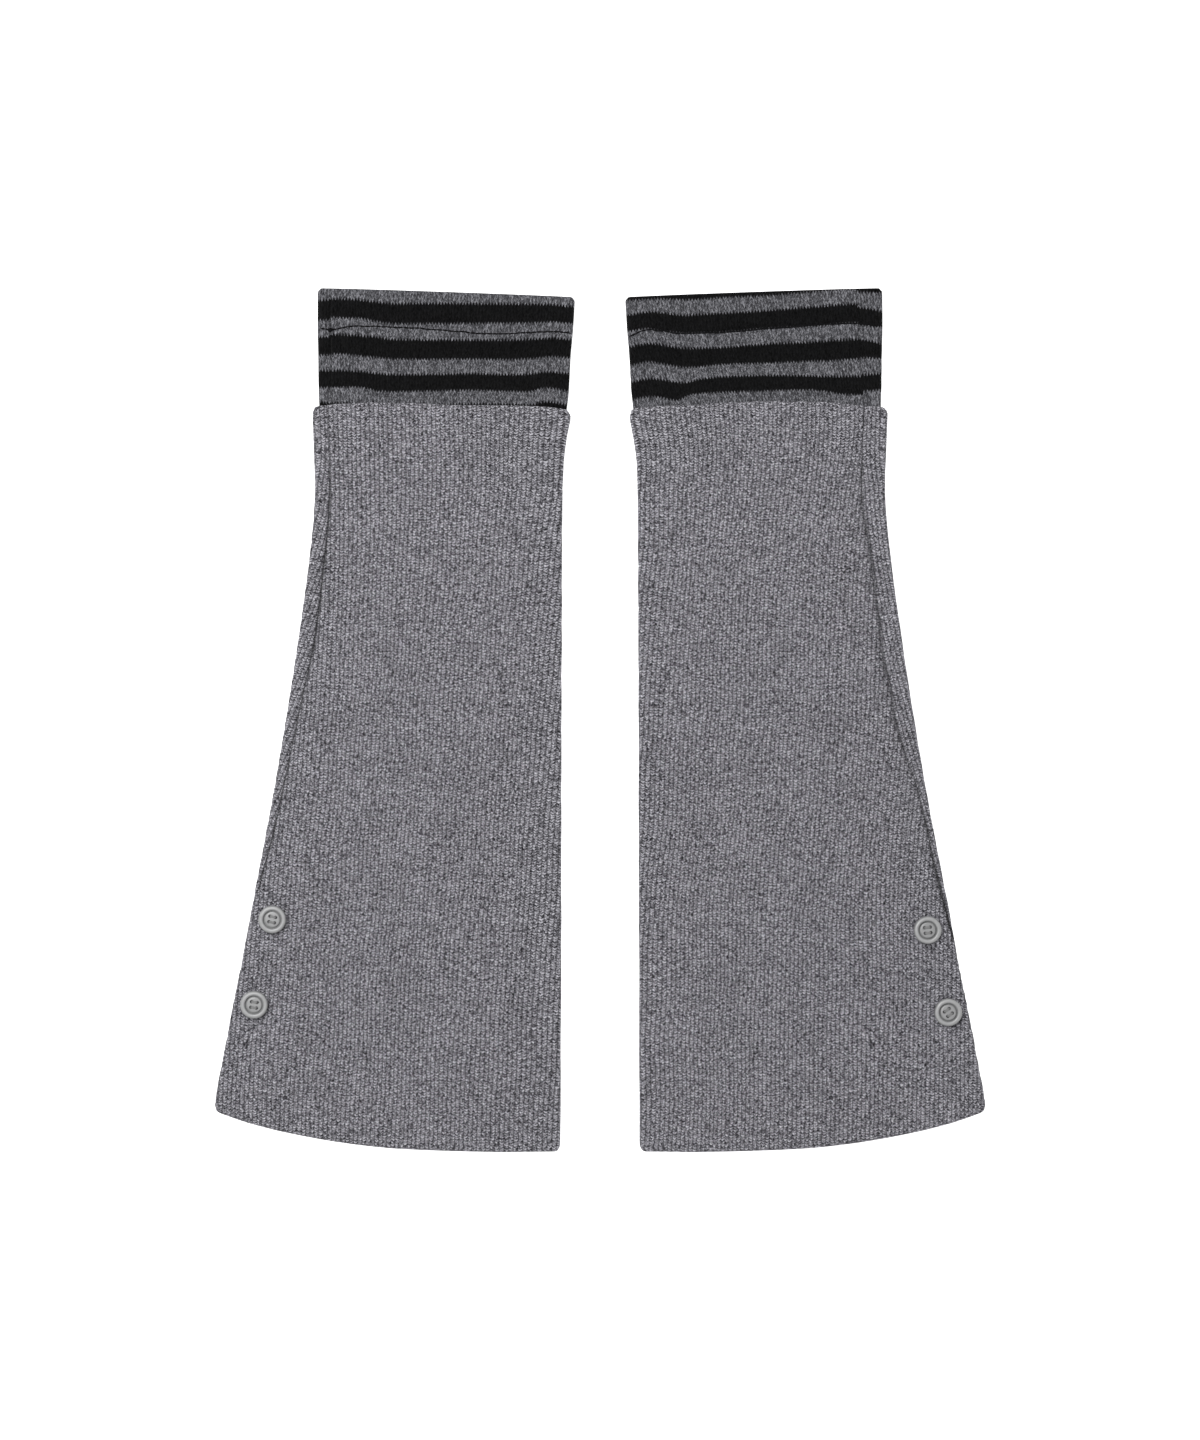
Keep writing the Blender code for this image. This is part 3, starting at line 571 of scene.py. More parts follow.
# The striped band
band = {
    "wall": 1.0,
    "plyGap": 0.3,
    "around": 254.0,
    "casingDepth": 20.0,  # how far the top edge is turned in
    "droop": (375.0, 390.0),  # v over which the band comes down to the surface
    "swell": (395.0, 410.0),  # and over which it thickens to the casing
    "seamGap": 0.08,
    "walePitch": 1.5,
    "coursePitch": 17.5 / 16,
    "repeat": 16,  # courses in a dark and a pale stripe
    "darkCourses": 9,
    "columnWidth": 1.0,
    "hiddenRows": (352.0, 3.0, 7),  # the mesh's rows inside the body: v of the first, height, count
    "shownRows": (373.0, 1.0, 58),
    "foldRows": 8,
    "casingRows": 6,
    "backRun": (-4.0, 120.6),  # u between which the back's stripes run straight
    "backEnd": 120.0,  # u where they meet the stripes beyond the seam
    "creaseFade": (376.0, 384.0),
    "outerSide": (  # v, u
        (352.0, 120.2), (370.0, 120.5), (385.0, 121.1), (400.0, 121.3), (415.0, 121.5), (431.5, 121.4),
    ),
    "innerSide": (  # v, u
        (352.0, 0.3), (366.0, -2.6), (372.0, -3.4), (379.0, -4.2), (400.0, -5.3), (415.0, -6.5),
        (431.5, -7.4),
    ),
    "top": ((-7.4, 427.3), (20.0, 428.5), (60.0, 430.0), (100.0, 431.3), (121.4, 431.8)),  # u, v
    "corners": ((121.4, 431.8, 2.5, -1, -1), (-7.4, 427.3, 2.5, 1, -1)),  # columns as the body's
    "flat": (0.254, 0.0975),
    "grooveDepth": 0.8,  # that the topstitching pulls in
    "grooveWidth": 1.0,
    "left": {
        "seam": ((352.0, 6.4), (431.5, 6.8)),  # v, distance from the outer side
        "stripes": (  # u, v of the upper and lower edges of the dark stripes, from the top down
            (-4.0, 431.0, 422.5, 414.0, 406.0, 397.0, 389.2, 380.0, 373.2),
            (4.0, 431.8, 423.4, 414.7, 406.8, 397.6, 389.9, 381.7, 374.8),
            (9.0, 432.0, 423.6, 414.5, 406.5, 397.0, 389.8, 381.8, 374.8),
            (15.0, 432.0, 423.6, 414.2, 406.2, 396.6, 389.0, 380.0, 373.4),
            (24.0, 432.1, 423.8, 414.1, 405.8, 396.1, 388.6, 380.1, 373.8),
            (44.0, 432.2, 423.9, 414.0, 405.8, 396.4, 389.1, 380.7, 373.9),
            (62.0, 432.3, 424.1, 413.8, 405.8, 396.2, 388.7, 380.4, 373.3),
            (84.0, 432.6, 424.0, 413.9, 406.2, 396.4, 388.7, 379.9, 373.0),
            (92.0, 433.0, 424.8, 415.0, 407.3, 397.1, 389.4, 380.4, 373.0),
            (99.0, 434.0, 425.7, 416.5, 407.9, 397.9, 390.2, 382.1, 373.6),
            (109.0, 434.4, 426.2, 416.8, 408.5, 398.8, 390.6, 382.2, 374.4),
            (116.0, 434.4, 426.3, 417.0, 408.6, 398.9, 390.7, 382.2, 374.6),
        ),
        "beyondSeam": (  # the same between the seam and the outer side
            (112.0, 434.0, 426.1, 415.8, 407.0, 398.3, 390.5, 381.8, 373.8),
            (120.6, 433.6, 425.5, 415.7, 407.3, 398.5, 390.8, 382.1, 375.0),
        ),
        "topstitch": (  # u, v
            (-6.0, 409.0), (2.0, 410.0), (8.0, 410.0), (30.0, 408.9), (45.0, 409.4), (62.0, 410.9),
            (80.0, 411.9), (102.5, 412.8), (110.0, 411.7), (114.0, 410.7), (118.0, 411.4), (120.6, 411.6),
        ),
        "knots": ((115.0, 410.7, 0.85), (115.0, 407.4, 0.6)),  # u, v, size
        # u, v of the middle, turn in degrees, length, width, depth
        "creases": ((95.0, 405.0, 80.0, 60.0, 7.0, 0.35), (14.0, 396.0, 95.0, 50.0, 5.0, 0.3)),
    },
    "right": {
        "seam": ((352.0, 7.0), (375.0, 8.6), (400.0, 11.4), (431.5, 13.1)),
        "stripes": (  # columns as above
            (-5.0, 425.6, 418.2, 410.0, 402.4, 393.2, 384.8, 375.8, 368.0),
            (4.0, 426.0, 419.7, 411.5, 404.0, 394.9, 386.5, 377.3, 369.5),
            (9.0, 426.2, 419.6, 410.4, 403.8, 394.4, 386.4, 377.3, 369.5),
            (19.0, 425.8, 418.4, 409.4, 402.1, 392.6, 384.9, 375.5, 368.0),
            (24.0, 425.7, 418.2, 409.1, 401.8, 392.2, 384.7, 378.0, 370.3),
            (29.0, 425.9, 418.5, 409.1, 401.8, 392.4, 386.2, 379.0, 371.3),
            (42.0, 426.9, 419.2, 409.6, 402.2, 393.7, 387.5, 379.7, 372.0),
            (64.0, 427.9, 420.5, 411.4, 403.9, 394.3, 388.2, 380.4, 372.7),
            (84.0, 429.5, 422.1, 412.6, 404.7, 395.2, 388.0, 380.9, 373.2),
            (94.0, 430.4, 422.9, 413.3, 405.5, 395.5, 387.7, 380.0, 372.3),
            (101.0, 431.0, 423.4, 414.0, 405.8, 396.0, 387.7, 378.6, 370.9),
            (107.8, 431.5, 423.8, 414.3, 406.2, 396.4, 387.8, 378.4, 370.7),
            (112.5, 431.7, 424.0, 414.5, 406.4, 396.6, 388.0, 378.4, 370.7),
        ),
        "beyondSeam": (
            (107.0, 429.8, 422.1, 413.4, 406.3, 396.5, 388.2, 380.4, 371.2),
            (114.0, 429.4, 421.5, 412.9, 405.5, 397.1, 388.6, 380.4, 371.2),
            (120.6, 429.2, 420.0, 412.2, 403.8, 396.6, 389.2, 381.0, 371.2),
        ),
        "topstitch": (
            (-6.0, 406.9), (0.0, 409.4), (5.0, 411.1), (20.0, 409.3), (42.0, 409.6), (64.0, 411.3),
            (107.8, 414.1), (120.6, 412.2),
        ),
        "knots": (),
        "creases": ((20.0, 400.0, 84.0, 60.0, 6.0, 0.4), (104.0, 392.0, 100.0, 44.0, 5.0, 0.3)),
    },
}

bandOuter = curveThrough(band["outerSide"])
bandInner = curveThrough(band["innerSide"])
bandTop = curveThrough(band["top"])
bandHeights = (340.0, 440.0)  # from and to where a curve is sampled
stripeCourses = (7, 0, -9, -16, -25, -32, -41, -48)  # course number at each of the stripes' edges


def bandLevel(v):  # underside of the band: on the back panel inside the body, then down on the surface
    return mix(ribBody["wall"] + band["plyGap"], 0.0, ease(*band["droop"], v))


def bandRise(v):  # share of the top edge's slope that is felt at a height
    return max(0.0, (v - band["droop"][0]) / (pair["length"] - band["droop"][0]))


def bandTotal(v):  # thickness of the whole flattened band
    single = 2 * band["wall"] + band["plyGap"]
    return mix(single, 2 * single + band["plyGap"], ease(*band["swell"], v))


class BandMap:
    # Lays the strip round the flattened ring, from its seam and back, with its top folded in as a casing.
    def __init__(self, sizes):
        self.sizes = sizes
        self.lines = columnCurves(sizes["stripes"])
        self.beyond = columnCurves(sizes["beyondSeam"])
        seamFromSide = curveThrough(sizes["seam"])
        self.seamU = sampled(lambda v: bandOuter(v) - seamFromSide(v), *bandHeights)
        self.topstitch = curveThrough(sizes["topstitch"])
        self.fold = (2 * band["wall"] + band["plyGap"]) / 2
        self.foldStart = pair["length"] - self.fold
        self.foldEnd = self.foldStart + math.pi * self.fold
        self.end = self.foldEnd + self.foldStart - (pair["length"] - band["casingDepth"])

    def section(self, station, inside):  # height and depth in the ring, for a way up and over the fold
        depth = band["wall"] if inside else 0.0
        if station <= self.foldStart:
            return station, depth
        if station < self.foldEnd:
            angle = (station - self.foldStart) / self.fold
            radius = self.fold - depth
            return self.foldStart + radius * math.sin(angle), self.fold - radius * math.cos(angle)
        return self.foldStart - (station - self.foldEnd), 2 * self.fold - depth

    def ring(self, v, depth, share):  # u, z and 1 on the front, 0.5 at a bend or 0 on the back
        low, high = bandLevel(v) + depth, bandLevel(v) + bandTotal(v) - depth
        radius = (high - low) / 2
        inner = bandInner(v) + depth + radius
        outer = bandOuter(v) - depth - radius
        seamU = self.seamU(v)
        gap = band["seamGap"] / 2
        bend = math.pi * radius
        lengths = (seamU - gap - inner, bend, outer - inner, bend, outer - seamU - gap)
        at = share * sum(lengths)
        for n, length in enumerate(lengths):
            if at <= length or n == len(lengths) - 1:
                break
            at -= length
        if n == 0:
            return seamU - gap - at, high, 1.0
        if n == 2:
            return inner + at, low, 0.0
        if n == 4:
            return outer - at, high, 1.0
        angle = at / max(radius, 1e-6)
        if n == 1:
            return inner - radius * math.sin(angle), (low + high) / 2 + radius * math.cos(angle), 0.5
        return outer + radius * math.sin(angle), (low + high) / 2 - radius * math.cos(angle), 0.5

    def heights(self, u, share, front):  # v of the stripes' edges at u
        if front == 1.0:
            lines = self.beyond if share > 0.5 else self.lines
            return [line(u) for line in lines]
        start, way = band["backRun"][0], ease(*band["backRun"], u)
        return [mix(line(start), end(band["backEnd"]), way) for line, end in zip(self.lines, self.beyond)]

    def course(self, u, station, share, front):  # which course of the knit lies at a place
        edges = self.heights(u, share, front)
        if station >= edges[0]:
            return stripeCourses[0] + (station - edges[0]) / band["coursePitch"]
        for n in range(len(edges) - 1):
            if station >= edges[n + 1]:
                part = (station - edges[n + 1]) / (edges[n] - edges[n + 1])
                return mix(stripeCourses[n + 1], stripeCourses[n], part)
        return stripeCourses[-1] + (station - edges[-1]) / band["coursePitch"]

    def place(self, share, station, inside, lift=0.0):
        v, depth = self.section(station, inside)
        u, z, front = self.ring(v, depth - lift, share)
        up = v + (bandTop(u) - pair["length"]) * bandRise(v)
        if front == 1.0 and not inside and station < self.foldStart:
            z -= creaseDepth(self.sizes["creases"], u, up) * ease(*band["creaseFade"], v)
            z -= band["grooveDepth"] * math.exp(-(((up - self.topstitch(u)) / band["grooveWidth"]) ** 2))
        u, up = rounded(u, up, band["corners"])
        return u, up, z, front


def makeBand(name, side, sizes, material):
    shape = BandMap(sizes)
    columns = round(band["around"] / band["columnWidth"])
    stations = []
    for start, height, count in (band["hiddenRows"], band["shownRows"]):
        stations += [start + height * n for n in range(count)]
    folds, turned = band["foldRows"], band["casingRows"]
    stations += [mix(shape.foldStart, shape.foldEnd, n / folds) for n in range(folds + 1)]
    stations += [mix(shape.foldEnd, shape.end, n / turned) for n in range(1, turned + 1)]
    rows = len(stations) - 1
    mesh = bmesh.new()
    bmesh.ops.create_grid(mesh, x_segments=columns, y_segments=rows, size=0.5)
    roundLayer = mesh.verts.layers.float.new("round")
    stationLayer = mesh.verts.layers.float.new("station")
    courseLayer = mesh.verts.layers.float.new("course")

    for vert in mesh.verts:
        share = min(max(vert.co.x + 0.5, 0.0), 1.0)
        station = stations[round((vert.co.y + 0.5) * rows)]
        u, up, z, front = shape.place(share, station, False)
        vert[roundLayer] = share
        vert[stationLayer] = station
        vert[courseLayer] = shape.course(u, station + (up - shape.section(station, False)[0]), share, front)
        vert.co = toWorld(side, u, up, z)
    for vert in innerSkin(mesh):
        u, up, z, _ = shape.place(vert[roundLayer], vert[stationLayer], True)
        vert.co = toWorld(side, u, up, z)
    faceOutwards(mesh)
    around, pitch = band["around"], band["walePitch"]
    addKnitMap(mesh, lambda vert: (vert[roundLayer] * around / pitch, vert[courseLayer]))
    piece = newPiece(name, mesh, [material])
    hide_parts(name.replace("Band", "_band"))
    print(f"{name}: {len(piece.data.polygons)} faces")
    return shape


# Materials
def addNode(tree, kind, **settings):
    node = tree.nodes.new(kind)
    for key, value in settings.items():
        setattr(node, key, value)
    return node


def feed(tree, socket, value):
    if isinstance(value, bpy.types.NodeSocket):
        tree.links.new(value, socket)
    else:
        socket.default_value = value


def calc(tree, operation, *values, clamp=False):
    node = addNode(tree, "ShaderNodeMath", operation=operation, use_clamp=clamp)
    for n, value in enumerate(values):
        feed(tree, node.inputs[n], value)
    return node.outputs[0]


def fade(tree, value, low, high, start=0.0, end=1.0):
    node = addNode(tree, "ShaderNodeMapRange", interpolation_type="SMOOTHSTEP")
    for n, item in enumerate((value, low, high, start, end)):
        feed(tree, node.inputs[n], item)
    return node.outputs[0]


def vector(tree, x, y, z):
    node = addNode(tree, "ShaderNodeCombineXYZ")
    for n, value in enumerate((x, y, z)):
        feed(tree, node.inputs[n], value)
    return node.outputs[0]


def ramp(tree, value, stops):
    node = addNode(tree, "ShaderNodeValToRGB")
    elements = node.color_ramp.elements
    while len(elements) < len(stops):
        elements.new(0.5)
    for element, (place, colour) in zip(elements, stops):
        element.position = place
        element.color = (*colour, 1.0)
    feed(tree, node.inputs[0], value)
    return node.outputs[0]


def mixColour(tree, share, one, other, blend="MIX"):
    node = addNode(tree, "ShaderNodeMix", data_type="RGBA", blend_type=blend)
    for socket, value in ((node.inputs[0], share), (node.inputs[6], one), (node.inputs[7], other)):
        feed(tree, socket, value if not isinstance(value, tuple) else (*value, 1.0))
    return node.outputs[2]


def startMaterial(name):
    material = bpy.data.materials.new(name)
    material.use_nodes = True
    tree = material.node_tree
    return material, tree, tree.nodes["Principled BSDF"]


def tune(node, settings):
    for name, value in settings.items():
        node.inputs[name].default_value = value


def addBump(tree, shader, height, strength, distance):
    bump = addNode(tree, "ShaderNodeBump")
    tune(bump, {"Strength": strength, "Distance": distance})
    tree.links.new(height, bump.inputs["Height"])
    tree.links.new(bump.outputs[0], shader.inputs["Normal"])


def whiteNoise(tree, at):
    node = addNode(tree, "ShaderNodeTexWhiteNoise", noise_dimensions="3D")
    tree.links.new(at, node.inputs["Vector"])
    return node.outputs["Value"]


def softNoise(tree, at, scale, detail=2.0, roughness=0.5):
    node = addNode(tree, "ShaderNodeTexNoise", noise_dimensions="3D")
    tree.links.new(at, node.inputs["Vector"])
    tune(node, {"Scale": scale, "Detail": detail, "Roughness": roughness})
    return node.outputs[0]


def stitches(tree, finish):
    # Reads the knit map: each wale is two slanted legs of a stitch, side by side, and may be set off from
    # its neighbours by up to a share of a course.
    knit = addNode(tree, "ShaderNodeUVMap", uv_map="knit").outputs[0]
    split = addNode(tree, "ShaderNodeSeparateXYZ")
    tree.links.new(knit, split.inputs[0])
    wale = split.outputs[0]
    setOff = whiteNoise(tree, vector(tree, calc(tree, "FLOOR", wale), 0.5, 3.5))
    course = calc(tree, "MULTIPLY_ADD", setOff, finish["setOff"], split.outputs[1])
    fromValley = calc(tree, "PINGPONG", wale, 0.5)
    drop = calc(tree, "MULTIPLY", calc(tree, "SUBTRACT", 0.5, fromValley), finish["slant"])
    slanted = calc(tree, "SUBTRACT", course, drop)
    legHeight = calc(tree, "SINE", calc(tree, "MULTIPLY", calc(tree, "PINGPONG", slanted, 0.5), math.pi))
    return {
        "wale": wale, "course": course, "fromValley": fromValley, "slanted": slanted, "legHeight": legHeight,
    }


def cellNoise(tree, stitch, across, along, seed):  # one value for each cell of a stitch
    column = calc(tree, "FLOOR", calc(tree, "MULTIPLY", stitch["wale"], across))
    row = calc(tree, "FLOOR", calc(tree, "MULTIPLY", stitch["slanted"], along))
    return whiteNoise(tree, vector(tree, column, row, seed))


def melange(tree, stitch, finish, noises):  # how pale the yarn is, and its colour
    cells = [(cellNoise(tree, stitch, *cell), share) for share, *cell in finish["cells"]]
    total = 0.0
    for value, share in cells + noises:
        total = calc(tree, "MULTIPLY_ADD", calc(tree, "SUBTRACT", value, 0.5), share, total)
    tone = calc(tree, "ADD", total, 0.5, clamp=True)
    return tone, ramp(tree, tone, ((0.0, finish["dark"]), (0.5, finish["middle"]), (1.0, finish["pale"])))


def finishCloth(tree, shader, colour, shade, height, finish):
    colour = mixColour(tree, 1.0, colour, vector(tree, shade, shade, shade), "MULTIPLY")
    tree.links.new(colour, shader.inputs["Base Color"])
    addBump(tree, shader, height, 1.0, finish["bump"])
    tune(shader, {"Roughness": 0.95, "Sheen Weight": finish["sheen"], "Sheen Roughness": 0.5})
    tune(shader, {"Specular IOR Level": finish["specular"]})


ribFinish = {
    "slant": 0.9,  # courses that a stitch's leg rises
    "setOff": 0.9,
    "dark": (0.008, 0.008, 0.010),
    "middle": (0.210, 0.205, 0.229),
    "pale": (0.60, 0.59, 0.64),
    "cells": ((0.35, 4.0, 3.0, 0.5), (0.85, 2.0, 4.0, 7.5)),  # share, cells in a wale and a course, seed
    "fibre": (1.85, 1.8),  # share, fibres in a mm
    "patch": (0.10, 0.09, 0.6),  # share, patches in a rib, stretch
    "valleyShade": 0.42,  # how much light the valley between two ribs keeps
    "valleyWidth": 0.28,
    "courseShade": 0.45,  # and the gap between two courses
    "courseWidth": 0.33,
    "fibreHeight": 0.5,
    "bump": 0.00022,
    "sheen": 0.1,
    "specular": 0.2,
}


def ribKnitMaterial():
    material, tree, shader = startMaterial("ribKnit")
    stitch = stitches(tree, ribFinish)
    inMm = vector(
        tree, calc(tree, "MULTIPLY", stitch["wale"], ribBody["left"]["ribPitch"]),
        calc(tree, "MULTIPLY", stitch["slanted"], ribBody["courseHeight"]), 0.0,
    )
    fibreShare, fibreScale = ribFinish["fibre"]
    fibre = softNoise(tree, inMm, fibreScale, detail=1.0, roughness=0.6)
    patchShare, patchScale, stretch = ribFinish["patch"]
    patchPlace = vector(tree, stitch["wale"], calc(tree, "MULTIPLY", stitch["course"], stretch), 0.0)
    patch = softNoise(tree, patchPlace, patchScale)
    _, colour = melange(tree, stitch, ribFinish, [(fibre, fibreShare), (patch, patchShare)])
    valley = fade(tree, stitch["fromValley"], 0.0, ribFinish["valleyWidth"], ribFinish["valleyShade"], 1.0)
    fromGap = calc(tree, "PINGPONG", stitch["slanted"], 0.5)
    gap = fade(tree, fromGap, 0.0, ribFinish["courseWidth"], ribFinish["courseShade"], 1.0)
    # the seamShade attribute darkens the colour: painted shade along the seam
    seamShade = addNode(tree, "ShaderNodeAttribute", attribute_name="seamShade").outputs["Fac"]
    unshaded = calc(tree, "SUBTRACT", 1.0, seamShade)
    shade = calc(tree, "MULTIPLY", calc(tree, "MULTIPLY", valley, gap), unshaded)
    height = calc(tree, "MULTIPLY_ADD", fibre, ribFinish["fibreHeight"], stitch["legHeight"])
    finishCloth(tree, shader, colour, shade, height, ribFinish)
    return material


jerseyFinish = {
    "slant": 3.2,
    "setOff": 0.0,
    "darkYarn": ((0.0, 0.0, 0.0), (0.0125, 0.0125, 0.0132)),
    "dark": (0.012, 0.012, 0.014),
    "middle": (0.086, 0.086, 0.094),
    "pale": (0.35, 0.35, 0.38),
    "cells": ((0.25, 4.0, 3.0, 2.5), (0.45, 2.0, 1.0, 9.5)),
    "fibre": (1.5, 1.65),
    "valleyShade": 0.55,
    "valleyWidth": 0.2,
    "waleHeight": 1.2,
    "fibreHeight": 0.4,
    "bump": 0.00014,
    "sheen": 0.03,
    "specular": 0.05,
}


def jerseyMaterial():
    material, tree, shader = startMaterial("stripedJersey")
    stitch = stitches(tree, jerseyFinish)
    between = calc(tree, "ADD", stitch["slanted"], stitch["course"])
    inMm = vector(
        tree, calc(tree, "MULTIPLY", stitch["wale"], band["walePitch"]),
        calc(tree, "MULTIPLY", between, band["coursePitch"] / 2), 4.0,
    )
    fibreShare, fibreScale = jerseyFinish["fibre"]
    fibre = softNoise(tree, inMm, fibreScale, detail=1.0, roughness=0.6)
    tone, marl = melange(tree, stitch, jerseyFinish, [(fibre, fibreShare)])
    black = mixColour(tree, tone, *jerseyFinish["darkYarn"])
    moved = calc(tree, "ADD", stitch["slanted"], jerseyFinish["slant"] / 4)
    inRepeat = calc(tree, "FLOORED_MODULO", calc(tree, "FLOOR", moved), float(band["repeat"]))
    isDark = calc(tree, "GREATER_THAN", inRepeat, band["repeat"] - band["darkCourses"] - 0.5)
    colour = mixColour(tree, isDark, marl, black)
    width, shade = jerseyFinish["valleyWidth"], jerseyFinish["valleyShade"]
    valley = fade(tree, stitch["fromValley"], 0.0, width, shade, 1.0)
    across = calc(tree, "SINE", calc(tree, "MULTIPLY", stitch["fromValley"], math.pi))
    height = calc(tree, "MULTIPLY_ADD", fibre, jerseyFinish["fibreHeight"], stitch["legHeight"])
    height = calc(tree, "MULTIPLY_ADD", across, jerseyFinish["waleHeight"], height)
    finishCloth(tree, shader, colour, valley, height, jerseyFinish)
    return material


buttonFinish = {
    # rim and disc are one grey plastic; the disc's darker copy of it is painted shade
    "rim": (0.34, 0.342, 0.344),
    "shadedDisc": (0.285, 0.286, 0.288),
    "gap": (0.02, 0.02, 0.02),  # colour of the painted shade in the groove and round the rim's outer edge
    "cloud": 420.0,  # to a metre
    "contrast": (0.82, 1.18),  # its darkest and palest, as shares of the colour
    "grain": 3200.0,
    "grainDepth": 0.00003,
    "roughness": (0.22, 0.2),  # least, and how much the grain adds
}


def varied(tree, share, colour, contrast):  # from a darker to a paler shade of a colour
    return mixColour(tree, share, *(tuple(part * c for c in colour) for part in contrast))


def plasticMaterial(name, colour):
    material, tree, shader = startMaterial(name)
    place = addNode(tree, "ShaderNodeTexCoord").outputs["Object"]
    cloud = softNoise(tree, place, buttonFinish["cloud"], detail=3.0, roughness=0.6)
    tone = varied(tree, cloud, colour, buttonFinish["contrast"])
    # painted shade from the shade attribute, darkest in the groove and at the rim's outer edge
    shade = addNode(tree, "ShaderNodeAttribute", attribute_name="shade").outputs["Fac"]
    tree.links.new(mixColour(tree, shade, tone, buttonFinish["gap"]), shader.inputs["Base Color"])
    grain = softNoise(tree, place, buttonFinish["grain"], roughness=0.6)
    addBump(tree, shader, grain, 0.6, buttonFinish["grainDepth"])
    least, more = buttonFinish["roughness"]
    tree.links.new(calc(tree, "MULTIPLY_ADD", grain, more, least), shader.inputs["Roughness"])
    return material


threadFinish = {
    "colours": {"dark": (0.005, 0.005, 0.0055), "grey": (0.16, 0.16, 0.165), "button": (0.22, 0.22, 0.22)},
    "strands": 2600.0,  # to a metre
    "contrast": (0.6, 1.4),
}


def threadMaterial(kind):
    material, tree, shader = startMaterial(f"{kind}Thread")
    place = addNode(tree, "ShaderNodeTexCoord").outputs["Object"]
    strands = softNoise(tree, place, threadFinish["strands"], roughness=0.6)
    tone = varied(tree, strands, threadFinish["colours"][kind], threadFinish["contrast"])
    tree.links.new(tone, shader.inputs["Base Color"])
    tune(shader, {"Roughness": 0.9, "Specular IOR Level": 0.1})
    return material


# Sewing
sewing = {
    "topLevel": 405.0,  # v at which the topstitching is spaced out round the band
    "topEnds": (-6.0, 120.6),  # u beyond which it stays level
    "topLength": 3.1,
    "topStep": 2.7,
    "topRadius": 0.5,
    "topLift": 0.05,
    "topSink": 0.35,  # into the folded sides
    "topFold": 2.5,  # how near a side that starts
    "topStray": 0.6,
    "topPace": 1.9,
    "knotWays": ((1.4, 0.5), (-1.0, 1.2), (0.4, -1.4)),  # a knot's strands, in its sizes across and up
    "knotSink": 0.2,
    "knotRise": 0.3,
    "seamEnds": (24.0, 370.0),
    "seamStep": 2.8,
    "seamReach": 0.8,
    "seamDepth": 0.45,
    "seamRadius": 0.15,
}


def addStitch(mesh, start, end, radius):  # one short stitch, thick in its middle
    made = bmesh.ops.create_uvsphere(mesh, u_segments=6, v_segments=5, radius=1.0)
    way = end - start
    turn = way.to_track_quat("Z", "Y").to_matrix().to_4x4()
    size = Matrix.Diagonal((radius, radius, way.length / 2, 1.0))
    place = Matrix.Translation((start + end) / 2) @ turn @ size
    bmesh.ops.transform(mesh, matrix=place, verts=made["verts"])


def makeTopstitch(name, side, shape, material):
    mesh = bmesh.new()
    around, step, level = band["around"], sewing["topStep"], sewing["topLevel"]
    count = math.ceil(around / step)
    lowest, highest = sewing["topEnds"]

    def spot(share, n):
        stray = sewing["topStray"] * noise.noise(Vector((sewing["topPace"] * n, side, 8.0)))
        u = shape.ring(level, 0.0, share)[0]
        station = shape.topstitch(min(max(u, lowest), highest)) + stray
        station -= (bandTop(u) - pair["length"]) * bandRise(station)
        inFold = ease(sewing["topFold"], 0.0, min(u - bandInner(level), bandOuter(level) - u))
        place = shape.place(share, station, False, mix(sewing["topLift"], -sewing["topSink"], inFold))
        return toWorld(side, place[0], place[1], max(place[2], sewing["topRadius"]))

    for n in range(count):
        start = n * step / around
        end = min(start + sewing["topLength"] / around, 1.0)
        addStitch(mesh, spot(start, n), spot(end, n + 1), sewing["topRadius"] * mm)
    for u, v, size in shape.sizes["knots"]:
        z = bandLevel(v) + bandTotal(v) - sewing["knotSink"]
        for wayU, wayV in sewing["knotWays"]:
            start = toWorld(side, u - size * wayU, v - size * wayV, z)
            end = toWorld(side, u + size * wayU, v + size * wayV, z + sewing["knotRise"])
            addStitch(mesh, start, end, size * mm)
    newPiece(name, mesh, [material])
    print(f"{name}: {count} stitches")


def makeSeamStitches(name, side, shape, material):
    mesh = bmesh.new()
    count = 0
    v, highest = sewing["seamEnds"]
    while v < highest:
        lean = 1 / math.hypot(1.0, shape.slope(v))
        reach = sewing["seamReach"] / lean
        backV = v - shape.slope(v) * lean * max(2 * shape.seamTurn(v) - shape.turn, 0.0)
        start = shape.place(shape.seamFront(v) - reach, v, lambda share: -sewing["seamDepth"])
        end = shape.place(reach - shape.seamBack(backV), backV, lambda share: -sewing["seamDepth"])
        addStitch(mesh, toWorld(side, *start), toWorld(side, *end), sewing["seamRadius"] * mm)
        v += sewing["seamStep"]
        count += 1
    newPiece(name, mesh, [material])
    print(f"{name}: {count} stitches")


